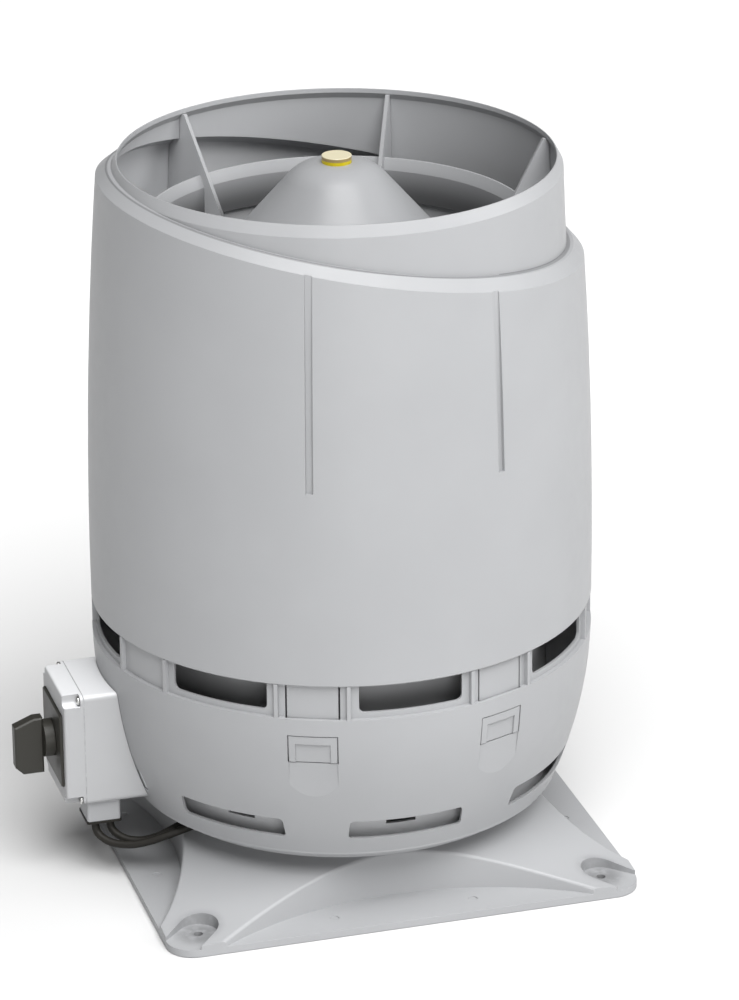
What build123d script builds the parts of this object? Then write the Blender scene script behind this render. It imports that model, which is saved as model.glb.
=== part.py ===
from build123d import *
import os
from math import acos, cos, degrees, hypot, pi, radians, sin, sqrt, tan

os.makedirs("parts", exist_ok=True)

# Roof exhaust fan with vertical discharge. Millimetres, +Z up, the front towards -Y.
# The origin is the middle of the base's underside. Angles turn from the front towards +X.

# Driving sizes, which the other radii and heights are worked out from
body_r = 250.7
inlet_r = 125.0
hub_r = 130.0
deck_z = 70.0
bowl_step_z = 232.0
jacket_foot_z = 266.9
motor_plate_z = 322.0
rim_z = 719.2

# Base: a square moulding with a bell-shaped top, four side scoops and a duct collar
base_inset = 9.7
base_corner_r = 28.0
plate_t = 7.5
base_wall = 4.0
base_rim = 16.0
collar_inset = 30.0
collar_flange_inset = 4.0
collar_flange_t = 8.0
bell_drop = 18.0
bell_mid_run = 71.0
bell_mid_z = 26.6
bell_foot_z = 11.0
scoop_r = 333.0
scoop_gap = 7.0
scoop_draft = 6.0
ridge_r = 3.0
bolt_inset = 34.0
bolt_hole_r = 4.5
pocket_r = 20.0
dimple_r = 4.5
dimple_depth = 0.8
dimple_spacing = 142.0
dimple_inset = 26.5

# Lower housing: a bowl with drain slots, a recessed band of windows and latch openings
bowl_curve_r = 424.0
bowl_waist_rise = 8.0
bowl_foot_bevel = 4.3
bowl_wall = 3.5
foot_flange_t = 4.0
foot_flange_w = 18.0
band_step = 4.7
band_wall = 3.0
band_overlap = 21.0
opening_count = 8
window_width = 103.0
window_sill = 6.0
window_head = 9.9
window_corner_r = 6.0
band_rib_w = 4.0
band_rib_angle = 14.4
band_rib_proud = 4.4
slot_width = 114.0
slot_rise = 23.5
slot_height = 21.5
slot_corner_r = 4.0
cut_reach = 18.0

# Jacket: a barrel with a slanted shoulder and an upright ring above it
jacket_wall = 3.2
jacket_foot_bevel = 1.0
barrel_waist_rise = 33.1
barrel_curve_r = 4808.0
shoulder_drop = 49.0
shoulder_slope = 0.19
shoulder_bevel = 10.0
shoulder_w = 26.3
ring_mid_lean = 1.9
ring_lean = 5.0
ring_bevel_h = 10.7
ring_wall = 3.0
rim_setback = 10.8
rim_lip_w = 1.0
rim_lip_t = 4.5
groove_w = 7.0
groove_depth = 3.5
groove_top_depth = 1.0
groove_length = 206.2

# Latches between the jacket and the lower housing
latch_angles = (-157.5, -22.5, 22.5, 157.5)
latch_half_angle = 5.8
latch_slit = 1.6
latch_t = 3.0
tab_half_angle = 5.45
tab_drop = 47.0
tab_height = 28.4
tab_gap = 0.9
tab_sink = 0.5
grip_half_w = 17.0
grip_height = 20.0
grip_depth = 2.0
thumb_scoop_height = 39.0
thumb_scoop_depth = 2.2
latch_bar_r = 2.5
latch_bar_fit = 0.05
latch_barrel_r = 5.5
latch_pivot_inset = 6.0
latch_pivot_rise = 27.6
ear_t = 4.0
ear_gap = 0.6

# Air path inside: casing, inlet cone, diffuser and motor cover
casing_gap = 44.7
casing_taper = 16.5
casing_wall = 3.0
casing_neck_low_z = 330.0
casing_neck_height = 120.0
casing_drop = 107.2
casing_flange_t = 4.0
drain_notch_w = 30.0
drain_notch_rise = 28.0
drain_notch_height = 17.0
cone_flange_gap = 8.0
cone_t = 3.0
cone_throat_r = 110.0
cone_overlap = 6.0
diffuser_wall = 6.7
diffuser_lip_w = 1.7
diffuser_lip_t = 11.6
diffuser_height = 43.6
vane_count = 6
vane_t = 4.0
vane_rim_gap = 1.6
vane_rim_drop = 2.2
vane_fall = 152.28
vane_inner_drop = 92.0
vane_outer_drop = 12.0
vane_fit = 0.5
hub_wall = 2.5
hub_drop = 8.2
hub_cap_r = 20.0
hub_cap_drop = 14.0
hub_cone_top_r = 48.5
hub_cone_drop = 107.0
hub_skirt_gap = 8.5
hub_ledge_w = 22.0
hub_ledge_t = 6.0

# Bullseye level on the motor cover
level_r = 14.65
level_height = 7.9
level_wall = 2.6
level_floor = 1.2
level_cap = 2.2
level_seat = 0.6
level_fit = 0.1

# External-rotor motor and impeller
motor_plate_t = 3.0
motor_plate_fit = 0.5
cable_hole_r = 15.0
stator_r = 60.0
stator_height = 56.0
stator_flange_r = 75.0
stator_flange_t = 6.0
stator_neck_r = 40.0
stator_neck_h = 8.0
air_gap = 0.6
rotor_r = 70.0
rotor_floor_t = 5.0
rotor_floor_gap = 7.5
rotor_top_gap = 10.0
rotor_boss_r = 16.0
rotor_boss_h = 5.5
shaft_r = 8.5
shaft_fit = 0.02
shaft_proud = 2.0
bearing_r = 20.0
bearing_w = 12.0
impeller_r = 165.0
impeller_eye_r = 118.0
impeller_low_z = 128.0
shroud_height = 44.0
shroud_bow = 12.0
shroud_t = 2.5
backplate_t = 3.5
blade_count = 7
blade_t = 3.0
blade_root_gap = 2.5
blade_sweep = 46.0
blade_bow = 9.0
impeller_bore_r = 10.0

# Isolator switch on the -X side
box_rise = 71.2
box_width = 96.0
box_height = 118.0
box_stand = 47.8
lid_depth = 19.7
gasket_t = 0.8
box_wall = 3.0
box_edge_r = 5.0
lid_edge_r = 6.0
box_floor_gap = 3.3
box_seat_gap = 0.3
screw_notch_r = 5.6
screw_inset = 4.6
screw_seat_t = 3.0
plate_side = 78.0
plate_depth = 2.8
plate_bevel = 1.2
switch_drop = 1.6
journal_r = 8.0
journal_fit = 0.06
knob_r = 19.0
knob_depth = 10.0
knob_gap = 0.3
paddle_depth = 29.0
paddle_t = 14.0
paddle_up = 24.5
paddle_down = 35.0
paddle_corner_x = 20.0
paddle_corner_z = 8.0
paddle_bevel = 1.5
spindle_side = 6.0
spindle_hole_r = 4.6
switch_block_side = 52.0
entry_stand = 9.3
entry_y = -24.0
entry_w = 34.0
entry_depth = 36.0
entry_height = 22.0
entry_pad_t = 2.5
entry_pad_proud = 0.8

# Cables from the switch to the collar, chosen by eye along the real run
cable_r = 4.0
bend_share = 0.45
supply_route = [(-268.0, -34.0, 57.7), (-268.0, -34.0, 48.5), (-264.0, -40.0, 41.5), (-253.0, -49.5, 36.8),
                (-234.5, -60.0, 37.6), (-215.5, -68.0, 44.4), (-197.5, -73.0, 51.5), (-180.6, -73.6, 56.4),
                (-164.5, -68.7, 57.2)]
motor_route = [(-252.5, -32.0, 57.7), (-252.5, -32.0, 49.0), (-248.5, -37.0, 42.0), (-237.5, -45.5, 36.8),
               (-221.0, -53.0, 37.4), (-204.0, -59.0, 45.0), (-186.5, -61.0, 54.3), (-169.7, -55.7, 57.2)]
gland_angle = -69.5
gland_w = 32.0
gland_height = 9.4
gland_drop = 13.0
gland_proud = 1.2

# Fasteners
screw_r = 2.5
screw_fit = 0.1
head_r = 4.5
head_h = 3.0
screw_grip = 3.5
housing_screw_count = 8
housing_screw_inset = 11.0
cone_screw_count = 6
cone_screw_inset = 20.0
plate_screw_count = 6
plate_screw_inset = 11.0
stator_screw_count = 4
stator_screw_r = 60.0
impeller_screw_count = 4
impeller_screw_r = 46.0
box_screw_spacing = 70.0
box_screw_reach = 30.0

# Worked-out radii
base_side = 2 * (body_r - base_inset)
band_r = body_r - band_step
casing_low_r = body_r - casing_gap
casing_top_r = casing_low_r - casing_taper
foot_flange_in_r = casing_low_r - foot_flange_w
housing_screw_r = casing_low_r - housing_screw_inset
collar_flange_r = casing_low_r - collar_flange_inset
collar_r = casing_low_r - collar_inset
cone_flange_r = collar_r - cone_flange_gap
cone_screw_r = collar_r - cone_screw_inset
diffuser_in_r = casing_top_r - diffuser_wall
diffuser_lip_r = casing_top_r - diffuser_lip_w
ring_foot_r = body_r - shoulder_w
ring_mid_r = ring_foot_r - ring_mid_lean
ring_top_r = ring_foot_r - ring_lean
rim_r = ring_foot_r - rim_setback
rim_lip_r = rim_r - rim_lip_w
vane_top_r = rim_lip_r - vane_rim_gap
latch_pivot_r = band_r - latch_pivot_inset
hub_ledge_in_r = hub_r - hub_ledge_w
plate_screw_r = hub_r - plate_screw_inset
bell_mid_r = collar_r + bell_mid_run
scoop_reach = collar_r + scoop_gap
bolt_spacing = base_side - 2 * bolt_inset
dimple_offset = base_side / 2 - dimple_inset
bolt_r = bolt_spacing / sqrt(2)
corner_reach = (base_side / 2 - base_corner_r) * sqrt(2) + base_corner_r

# Worked-out heights
bell_top_z = deck_z - bell_drop
gland_mid_z = deck_z - gland_drop
bowl_foot_z = deck_z + bowl_foot_bevel
bowl_waist_z = bowl_step_z + bowl_waist_rise
slot_low_z = deck_z + slot_rise
drain_notch_low_z = deck_z + drain_notch_rise
tab_low_z = bowl_step_z - tab_drop
tab_top_z = tab_low_z + tab_height
thumb_scoop_low_z = tab_low_z - thumb_scoop_height
band_top_z = jacket_foot_z + band_overlap
window_low_z = bowl_step_z + window_sill
window_height = band_top_z - window_head - window_low_z
latch_pivot_z = jacket_foot_z + latch_pivot_rise
barrel_waist_z = jacket_foot_z + barrel_waist_rise
shoulder_z = rim_z - shoulder_drop
shoulder_high_z = shoulder_z + shoulder_slope * body_r + shoulder_bevel
ring_low_z = shoulder_z - shoulder_slope * body_r - 2 * shoulder_bevel
ring_bevel_z = rim_z - ring_bevel_h
groove_low_z = shoulder_z - groove_length
casing_neck_top_z = casing_neck_low_z + casing_neck_height
casing_top_z = rim_z - casing_drop
diffuser_top_z = casing_top_z + diffuser_height
vane_top_z = rim_z - vane_rim_drop
vane_low_z = casing_top_z - vane_inner_drop
vane_outer_low_z = casing_top_z - vane_outer_drop
hub_top_z = rim_z - hub_drop
hub_cone_top_z = hub_top_z - hub_cap_drop
hub_break_z = hub_top_z - hub_cone_drop
stator_top_z = motor_plate_z - stator_flange_t - stator_neck_h
stator_low_z = stator_top_z - stator_height
rotor_low_z = stator_low_z - rotor_floor_gap - rotor_floor_t
rotor_top_z = motor_plate_z - rotor_top_gap
shaft_top_z = rotor_top_z + shaft_proud
hub_low_z = rotor_low_z + hub_skirt_gap
shroud_tip_z = impeller_low_z + shroud_height
cone_top_z = impeller_low_z + cone_overlap
box_mid_z = deck_z + box_rise
box_low_z = box_mid_z - box_height / 2
box_top_z = box_mid_z + box_height / 2
switch_z = box_mid_z - switch_drop

# Worked-out places along the isolator's axis, and the angles of what repeats around the body
box_face_x = -body_r - box_stand
box_floor_x = -body_r - box_floor_gap
entry_x = -body_r - entry_stand
lid_back_x = box_face_x + lid_depth
base_front_x = lid_back_x + gasket_t
paddle_x = box_face_x - plate_depth - knob_gap - knob_depth
pitch = 360 / opening_count
front_angles = [pitch * i for i in range(opening_count)]
vane_angles = [360 / vane_count * (i + 0.5) for i in range(vane_count)]
shoulder = Plane(origin=(0, 0, shoulder_z), x_dir=(1, 0, -shoulder_slope), z_dir=(shoulder_slope, 0, 1))
box_screw_spots = [(0, box_mid_z + side * box_screw_spacing / 2) for side in (-1, 1)]


def outward(angle):
    """Unit vector that points away from the axis at this angle."""
    return Vector(sin(radians(angle)), -cos(radians(angle)), 0)


def section_plane(angle):
    """Plane through the axis whose x is the radius at this angle and whose y is +Z."""
    return Plane(origin=(0, 0, 0), x_dir=outward(angle), z_dir=outward(angle).cross(Vector(0, 0, 1)))


def face_plane(angle, radius, height):
    """Plane that faces outwards at this angle, with y along +Z."""
    along = Vector(cos(radians(angle)), sin(radians(angle)), 0)
    return Plane(origin=outward(angle) * radius + Vector(0, 0, height), x_dir=along, z_dir=outward(angle))


def bowl_radius(height, inset=0.0):
    """Radius of the bowl's outside at a height, less an inset along its normal."""
    return body_r - bowl_curve_r + sqrt((bowl_curve_r - inset) ** 2 - (height - bowl_waist_z) ** 2)


def barrel_radius(height):
    """Radius of the jacket's outside at a height."""
    return body_r - barrel_curve_r + sqrt(barrel_curve_r**2 - (height - barrel_waist_z) ** 2)


def around(radius, count, start=0.0):
    """Points on a circle about the axis, the first at the start angle."""
    return [outward(start + 360 / count * i) * radius for i in range(count)]


def bell(drop, inset, deepen, scoop_low_z, round_ridges):
    """Solid under the bell-shaped top of the base, lowered, drawn in and scooped on four sides."""
    with BuildPart() as form:
        with BuildSketch(Plane.XZ):
            with BuildLine():
                Polyline((0, 0), (0, bell_top_z - drop), (collar_r, bell_top_z - drop))
                ThreePointArc(
                    (collar_r, bell_top_z - drop),
                    (bell_mid_r, bell_mid_z - drop),
                    (corner_reach, bell_foot_z - drop),
                )
                Polyline((corner_reach, bell_foot_z - drop), (corner_reach, 0), (0, 0))
            make_face()
        revolve(axis=Axis.Z)
        with BuildSketch():
            RectangleRounded(base_side - 2 * inset, base_side - 2 * inset, base_corner_r - inset)
        extrude(amount=bell_top_z, mode=Mode.INTERSECT)
        for spot in around(scoop_reach + scoop_r, 4):
            with Locations(spot + Vector(0, 0, scoop_low_z)):
                Cone(
                    scoop_r + deepen,
                    scoop_r + deepen + bell_top_z * tan(radians(scoop_draft)),
                    bell_top_z,
                    align=(Align.CENTER, Align.CENTER, Align.MIN),
                    mode=Mode.SUBTRACT,
                )
        if round_ridges:
            long_edges = form.edges().filter_by(lambda edge: edge.length > scoop_r / 2)
            fillet(long_edges.filter_by(GeomType.BSPLINE), radius=ridge_r)
    return form.part


def corner_pockets(radius, low_z, height):
    """Four round-ended pockets that open towards the corners of the base."""
    run = corner_reach - bolt_r
    with BuildPart() as form:
        with BuildSketch(Plane.XY.offset(low_z)):
            with PolarLocations(bolt_r, 4, start_angle=45):
                with Locations((run / 2, 0)):
                    SlotCenterToCenter(run, 2 * radius)
        extrude(amount=height)
    return form.part


def barrel(inset, drop, low_z):
    """Solid barrel below the slanted shoulder, drawn in by the inset and lowered by the drop."""
    heights = (low_z, (low_z + shoulder_high_z) / 2, shoulder_high_z)
    radii = [barrel_radius(height) - inset for height in heights]
    with BuildPart() as form:
        with BuildSketch(Plane.XZ):
            with BuildLine():
                Polyline((0, shoulder_high_z), (0, low_z), (radii[0], low_z))
                ThreePointArc((radii[0], heights[0]), (radii[1], heights[1]), (radii[2], heights[2]))
                Line((radii[2], shoulder_high_z), (0, shoulder_high_z))
            make_face()
        revolve(axis=Axis.Z)
        split(bisect_by=shoulder.offset(-drop), keep=Keep.BOTTOM)
        chamfer(form.faces().sort_by(Axis.Z)[-1].edges(), length=shoulder_bevel)
    return form.part


def ring(inset, low_z, top_r, high_z):
    """Solid of the upright ring above the shoulder, drawn in by the inset and bevelled to its top."""
    mid_z = (shoulder_z + low_z) / 2
    with BuildPart() as form:
        with BuildSketch(Plane.XZ):
            with BuildLine():
                Polyline((0, high_z), (0, low_z), (ring_foot_r - inset, low_z))
                ThreePointArc(
                    (ring_foot_r - inset, low_z),
                    (ring_mid_r - inset, mid_z),
                    (ring_top_r - inset, ring_bevel_z),
                )
                Polyline((ring_top_r - inset, ring_bevel_z), (top_r, high_z), (0, high_z))
            make_face()
        revolve(axis=Axis.Z)
    return form.part


def jacket_inside(clear):
    """Hollow of the jacket below its rim lip, kept clear of the walls."""
    with BuildPart() as form:
        add(barrel(jacket_wall + clear, jacket_wall + clear, jacket_foot_z))
        add(ring(ring_wall + clear, ring_low_z, rim_lip_r - clear, rim_z - rim_lip_t - clear))
    return form.part


# Base flange
with BuildPart() as base_flange:
    with BuildSketch():
        RectangleRounded(base_side, base_side, base_corner_r)
    extrude(amount=plate_t)
    add(bell(0, 0, 0, plate_t, True))
    add(bell(base_wall, base_rim, base_wall, 0, False) - corner_pockets(pocket_r + base_wall, 0, bell_top_z),
        mode=Mode.SUBTRACT)
    Cylinder(collar_r - base_wall, 2 * deck_z, mode=Mode.SUBTRACT)
    # Collar, deck and duct spigot
    with BuildSketch(Plane.XZ):
        with BuildLine():
            Polyline(
                (inlet_r, 0),
                (inlet_r, deck_z),
                (collar_flange_r, deck_z),
                (collar_flange_r, deck_z - collar_flange_t),
                (collar_r, deck_z - collar_flange_t),
                (collar_r, 0),
                (collar_r - base_wall, 0),
                (collar_r - base_wall, deck_z - base_wall),
                (inlet_r + base_wall, deck_z - base_wall),
                (inlet_r + base_wall, 0),
                close=True,
            )
        make_face()
    revolve(axis=Axis.Z)
    add(corner_pockets(pocket_r, plate_t, bell_top_z), mode=Mode.SUBTRACT)
    with Locations(*around(bolt_r, 4, 45)):
        Cylinder(bolt_hole_r, 4 * plate_t, mode=Mode.SUBTRACT)
    with BuildSketch(Plane.XY.offset(plate_t)):
        for turn in range(4):
            with Locations(Location((0, 0, 0), (0, 0, 90 * turn))):
                with Locations((-dimple_spacing / 2, -dimple_offset), (dimple_spacing / 2, -dimple_offset)):
                    Circle(dimple_r)
    extrude(amount=-dimple_depth, mode=Mode.SUBTRACT)
    housing_holes = around(housing_screw_r, housing_screw_count, pitch / 2)
    with Locations(*housing_holes, *around(cone_screw_r, cone_screw_count)):
        with Locations((0, 0, deck_z)):
            Cylinder(screw_r + screw_fit, 2 * base_wall, mode=Mode.SUBTRACT)
    # Opening for the cable gland in the collar
    with BuildSketch(face_plane(gland_angle, collar_r - 2 * base_wall, gland_mid_z)):
        RectangleRounded(gland_w, gland_height, gland_height / 4)
    extrude(amount=4 * base_wall, mode=Mode.SUBTRACT)
base_flange.part.label = "base_flange"
export_step(base_flange.part, "parts/base_flange.step")

# Lower housing
inner_top_z = bowl_step_z - bowl_wall
inner_low_z = deck_z + 2 * foot_flange_t
with BuildPart() as lower_housing:
    with BuildSketch(Plane.XZ):
        with BuildLine():
            foot_r = bowl_radius(bowl_foot_z)
            mid_z = (bowl_foot_z + bowl_step_z) / 2
            mid_in_z = (inner_top_z + inner_low_z) / 2
            foot_round = bowl_foot_bevel * (1 - sin(radians(45)))
            Line((foot_flange_in_r, deck_z), (foot_r - bowl_foot_bevel, deck_z))
            ThreePointArc(
                (foot_r - bowl_foot_bevel, deck_z),
                (foot_r - foot_round, deck_z + foot_round),
                (foot_r, bowl_foot_z),
            )
            ThreePointArc(
                (foot_r, bowl_foot_z), (bowl_radius(mid_z), mid_z), (bowl_radius(bowl_step_z), bowl_step_z)
            )
            Polyline(
                (bowl_radius(bowl_step_z), bowl_step_z),
                (band_r, bowl_step_z),
                (band_r, band_top_z),
                (band_r - band_wall, band_top_z),
                (band_r - band_wall, inner_top_z),
                (bowl_radius(inner_top_z, bowl_wall), inner_top_z),
            )
            ThreePointArc(
                (bowl_radius(inner_top_z, bowl_wall), inner_top_z),
                (bowl_radius(mid_in_z, bowl_wall), mid_in_z),
                (bowl_radius(inner_low_z, bowl_wall), inner_low_z),
            )
            Polyline(
                (bowl_radius(inner_low_z, bowl_wall), inner_low_z),
                (bowl_radius(inner_low_z, bowl_wall) - foot_flange_t, deck_z + foot_flange_t),
                (foot_flange_in_r, deck_z + foot_flange_t),
                (foot_flange_in_r, deck_z),
            )
        make_face()
    revolve(axis=Axis.Z)
    # Ribs of the band, which carry the jacket's foot
    rib_height = jacket_foot_z - bowl_step_z
    rib_angles = [angle + side * band_rib_angle for angle in front_angles for side in (-1, 1)]
    rib_low_r = band_r - band_wall / 2
    for angle in rib_angles:
        with BuildSketch(face_plane(angle, rib_low_r, bowl_step_z + rib_height / 2)):
            Rectangle(band_rib_w, rib_height)
        extrude(amount=band_rib_proud + band_wall / 2)
    # Windows in the band and drain slots at the foot
    for angle in front_angles:
        with BuildSketch(face_plane(angle, band_r - cut_reach, window_low_z + window_height / 2)):
            RectangleRounded(window_width, window_height, window_corner_r)
        extrude(amount=2 * cut_reach, mode=Mode.SUBTRACT)
        slot_mid_z = slot_low_z + slot_height / 2
        with BuildSketch(face_plane(angle, bowl_radius(slot_mid_z) - cut_reach, slot_mid_z)):
            RectangleRounded(slot_width, slot_height, slot_corner_r)
        extrude(amount=2 * cut_reach, mode=Mode.SUBTRACT)
    # Latch openings with a shallow thumb scoop below each
    tongue_w = 2 * band_r * sin(radians(latch_half_angle))
    tab_w = 2 * bowl_radius(tab_top_z) * sin(radians(tab_half_angle))
    notch_low_z = inner_top_z - tab_gap
    for angle in latch_angles:
        with BuildSketch(face_plane(angle, band_r - cut_reach, (notch_low_z + band_top_z) / 2)):
            Rectangle(tongue_w + 2 * latch_slit, band_top_z - notch_low_z)
        extrude(amount=cut_reach + tab_sink, mode=Mode.SUBTRACT)
        with BuildSketch(face_plane(angle, band_r - cut_reach, (tab_low_z + tab_top_z) / 2)):
            Rectangle(tab_w + 2 * tab_gap, tab_height + 2 * tab_gap)
        extrude(amount=2 * cut_reach, mode=Mode.SUBTRACT)
        with BuildSketch(section_plane(angle)):
            with BuildLine():
                Polyline(
                    (bowl_radius(thumb_scoop_low_z), thumb_scoop_low_z),
                    (bowl_radius(tab_low_z) - thumb_scoop_depth, tab_low_z),
                    (body_r + bowl_wall, tab_low_z),
                    (body_r + bowl_wall, thumb_scoop_low_z),
                    close=True,
                )
            make_face()
        extrude(amount=tab_w / 2, both=True, mode=Mode.SUBTRACT)
    with Locations(*around(housing_screw_r, housing_screw_count, pitch / 2)):
        with Locations((0, 0, deck_z)):
            Cylinder(screw_r + screw_fit, 3 * foot_flange_t, mode=Mode.SUBTRACT)
    # Screw holes for the switch box
    with BuildSketch(Plane.YZ.offset(-body_r)):
        with Locations(*box_screw_spots):
            Circle(screw_r + screw_fit)
    extrude(amount=2 * cut_reach, mode=Mode.SUBTRACT)
lower_housing.part.label = "lower_housing"
export_step(lower_housing.part, "parts/lower_housing.step")

# Fan casing
casing_low_z = deck_z + foot_flange_t
with BuildPart() as fan_casing:
    with BuildSketch(Plane.XZ):
        with BuildLine():
            Polyline(
                (foot_flange_in_r, casing_low_z),
                (casing_low_r, casing_low_z),
                (casing_low_r, casing_neck_low_z),
                (casing_top_r, casing_neck_top_z),
                (casing_top_r, casing_top_z),
                (casing_top_r - casing_wall, casing_top_z),
                (casing_top_r - casing_wall, casing_neck_top_z),
                (casing_low_r - casing_wall, casing_neck_low_z),
                (casing_low_r - casing_wall, casing_low_z + casing_flange_t),
                (foot_flange_in_r, casing_low_z + casing_flange_t),
                close=True,
            )
        make_face()
    revolve(axis=Axis.Z)
    for angle in front_angles:
        notch_mid_z = drain_notch_low_z + drain_notch_height / 2
        with BuildSketch(face_plane(angle, casing_low_r - cut_reach, notch_mid_z)):
            Rectangle(drain_notch_w, drain_notch_height)
        extrude(amount=2 * cut_reach, mode=Mode.SUBTRACT)
    with Locations(*around(housing_screw_r, housing_screw_count, pitch / 2)):
        with Locations((0, 0, casing_low_z)):
            Cylinder(screw_r + screw_fit, 3 * casing_flange_t, mode=Mode.SUBTRACT)
fan_casing.part.label = "fan_casing"
export_step(fan_casing.part, "parts/fan_casing.step")

# Inlet cone
cone_flange_top_z = deck_z + cone_t
with BuildPart() as inlet_cone:
    with BuildSketch(Plane.XZ):
        with BuildLine():
            Line((cone_flange_r, deck_z), (cone_flange_r, cone_flange_top_z))
            Line((cone_flange_r, cone_flange_top_z), (inlet_r + cone_t, cone_flange_top_z))
            ThreePointArc(
                (inlet_r + cone_t, cone_flange_top_z),
                (cone_throat_r + 2 * cone_t, (cone_flange_top_z + cone_top_z) / 2),
                (cone_throat_r + cone_t, cone_top_z),
            )
            Line((cone_throat_r + cone_t, cone_top_z), (cone_throat_r, cone_top_z))
            ThreePointArc(
                (cone_throat_r, cone_top_z),
                (cone_throat_r + cone_t, (deck_z + cone_top_z) / 2),
                (inlet_r, deck_z),
            )
            Line((inlet_r, deck_z), (cone_flange_r, deck_z))
        make_face()
    revolve(axis=Axis.Z)
    with Locations(*around(cone_screw_r, cone_screw_count)):
        with Locations((0, 0, deck_z)):
            Cylinder(screw_r + screw_fit, 4 * cone_t, mode=Mode.SUBTRACT)
inlet_cone.part.label = "inlet_cone"
export_step(inlet_cone.part, "parts/inlet_cone.step")

# Diffuser: a flared ring on the casing with vanes from the motor cover to the jacket
with BuildPart() as diffuser:
    for angle in vane_angles:
        with BuildSketch(section_plane(angle)):
            with BuildLine():
                Polyline(
                    (hub_r, vane_low_z),
                    (casing_top_r - casing_wall - vane_fit, vane_low_z),
                    (casing_top_r - casing_wall - vane_fit, casing_top_z),
                    (casing_top_r + vane_fit, casing_top_z),
                    (casing_top_r + vane_fit, vane_outer_low_z),
                    (body_r, vane_outer_low_z),
                    (body_r, vane_top_z),
                    (vane_top_r, vane_top_z),
                    (hub_r, vane_top_z - vane_fall),
                    close=True,
                )
            make_face()
        extrude(amount=vane_t / 2, both=True)
    add(jacket_inside(vane_fit), mode=Mode.INTERSECT)
    with BuildSketch(Plane.XZ):
        with BuildLine():
            Polyline(
                (diffuser_in_r, casing_top_z),
                (diffuser_in_r, diffuser_top_z - diffuser_lip_t),
                (diffuser_lip_r, diffuser_top_z),
                (casing_top_r, diffuser_top_z),
                (casing_top_r, casing_top_z),
                close=True,
            )
        make_face()
    revolve(axis=Axis.Z)
diffuser.part.label = "diffuser"
export_step(diffuser.part, "parts/diffuser.step")

# Jacket
with BuildPart() as jacket:
    add(barrel(0, 0, jacket_foot_z))
    add(ring(0, ring_low_z, rim_r, rim_z))
    add(jacket_inside(0), mode=Mode.SUBTRACT)
    with Locations((0, 0, rim_z)):
        Cylinder(rim_lip_r, 4 * rim_lip_t, mode=Mode.SUBTRACT)
    foot_edges = jacket.edges().group_by(Axis.Z)[0].sort_by(SortBy.LENGTH)
    chamfer(foot_edges[-1], length=jacket_foot_bevel)
    # Draw grooves above the latches, shallow at the shoulder and deepest at their blunt foot
    for angle in latch_angles:
        groove_x = outward(angle).X * barrel_radius(shoulder_z)
        groove_top_z = shoulder_z - shoulder_slope * groove_x - shoulder_bevel / 2
        groove_low_r = barrel_radius(groove_low_z)
        rib_low_z = groove_low_z - groove_w
        with BuildSketch(section_plane(angle)):
            with BuildLine():
                Polyline(
                    (barrel_radius(groove_top_z) - jacket_wall / 2, groove_top_z),
                    (groove_low_r - groove_depth - jacket_wall, rib_low_z),
                    (groove_low_r - jacket_wall / 2, rib_low_z),
                    close=True,
                )
            make_face()
        extrude(amount=groove_w, both=True)
        with BuildSketch(section_plane(angle)):
            with BuildLine():
                Polyline(
                    (barrel_radius(groove_top_z) - groove_top_depth, groove_top_z + shoulder_bevel),
                    (groove_low_r - groove_depth, groove_low_z),
                    (body_r + groove_w, groove_low_z),
                    (body_r + groove_w, groove_top_z + shoulder_bevel),
                    close=True,
                )
            make_face()
        extrude(amount=groove_w / 2, both=True, mode=Mode.SUBTRACT)
    # Ears and a hinge bar for each latch
    for angle in latch_angles:
        ear_in = tongue_w / 2 + ear_gap
        ear_span = barrel_radius(latch_pivot_z) - jacket_wall / 2 - latch_pivot_r + latch_barrel_r
        for side in (-1, 1):
            with BuildSketch(face_plane(angle, latch_pivot_r - latch_barrel_r, latch_pivot_z)):
                with Locations((side * (ear_in + ear_t / 2), 0)):
                    Rectangle(ear_t, 2 * latch_barrel_r)
            extrude(amount=sqrt((ear_span + latch_pivot_r - latch_barrel_r) ** 2 - (ear_in + ear_t) ** 2)
                    - latch_pivot_r + latch_barrel_r)
        with BuildSketch(section_plane(angle)):
            with Locations((latch_pivot_r, latch_pivot_z)):
                Circle(latch_bar_r)
        extrude(amount=ear_in + ear_t / 2, both=True)
jacket.part.label = "jacket"
export_step(jacket.part, "parts/jacket.step")

# Motor cover
with BuildPart() as motor_cover:
    with BuildSketch(Plane.XZ):
        with BuildLine():
            Polyline((0, hub_top_z), (0, hub_low_z), (hub_r, hub_low_z), (hub_r, hub_break_z))
            Line((hub_r, hub_break_z), (hub_cone_top_r, hub_cone_top_z))
            TangentArc(
                (hub_cone_top_r, hub_cone_top_z),
                (hub_cap_r, hub_top_z),
                tangent=(hub_cone_top_r - hub_r, hub_cone_top_z - hub_break_z),
            )
            Line((hub_cap_r, hub_top_z), (0, hub_top_z))
        make_face()
    revolve(axis=Axis.Z)
    offset(amount=-hub_wall, openings=motor_cover.faces().sort_by(Axis.Z)[0])
    ledge_z = motor_plate_z + motor_plate_t
    with BuildSketch(Plane.XY.offset(ledge_z)):
        Circle(hub_r - hub_wall / 2)
        Circle(hub_ledge_in_r, mode=Mode.SUBTRACT)
    extrude(amount=hub_ledge_t)
    with Locations(*around(plate_screw_r, plate_screw_count)):
        with Locations((0, 0, ledge_z)):
            Cylinder(screw_r + screw_fit, 2 * hub_ledge_t, mode=Mode.SUBTRACT)
    with Locations((0, 0, hub_top_z)):
        Cylinder(level_r + level_fit, 2 * level_seat, mode=Mode.SUBTRACT)
motor_cover.part.label = "motor_cover"
export_step(motor_cover.part, "parts/motor_cover.step")

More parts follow.
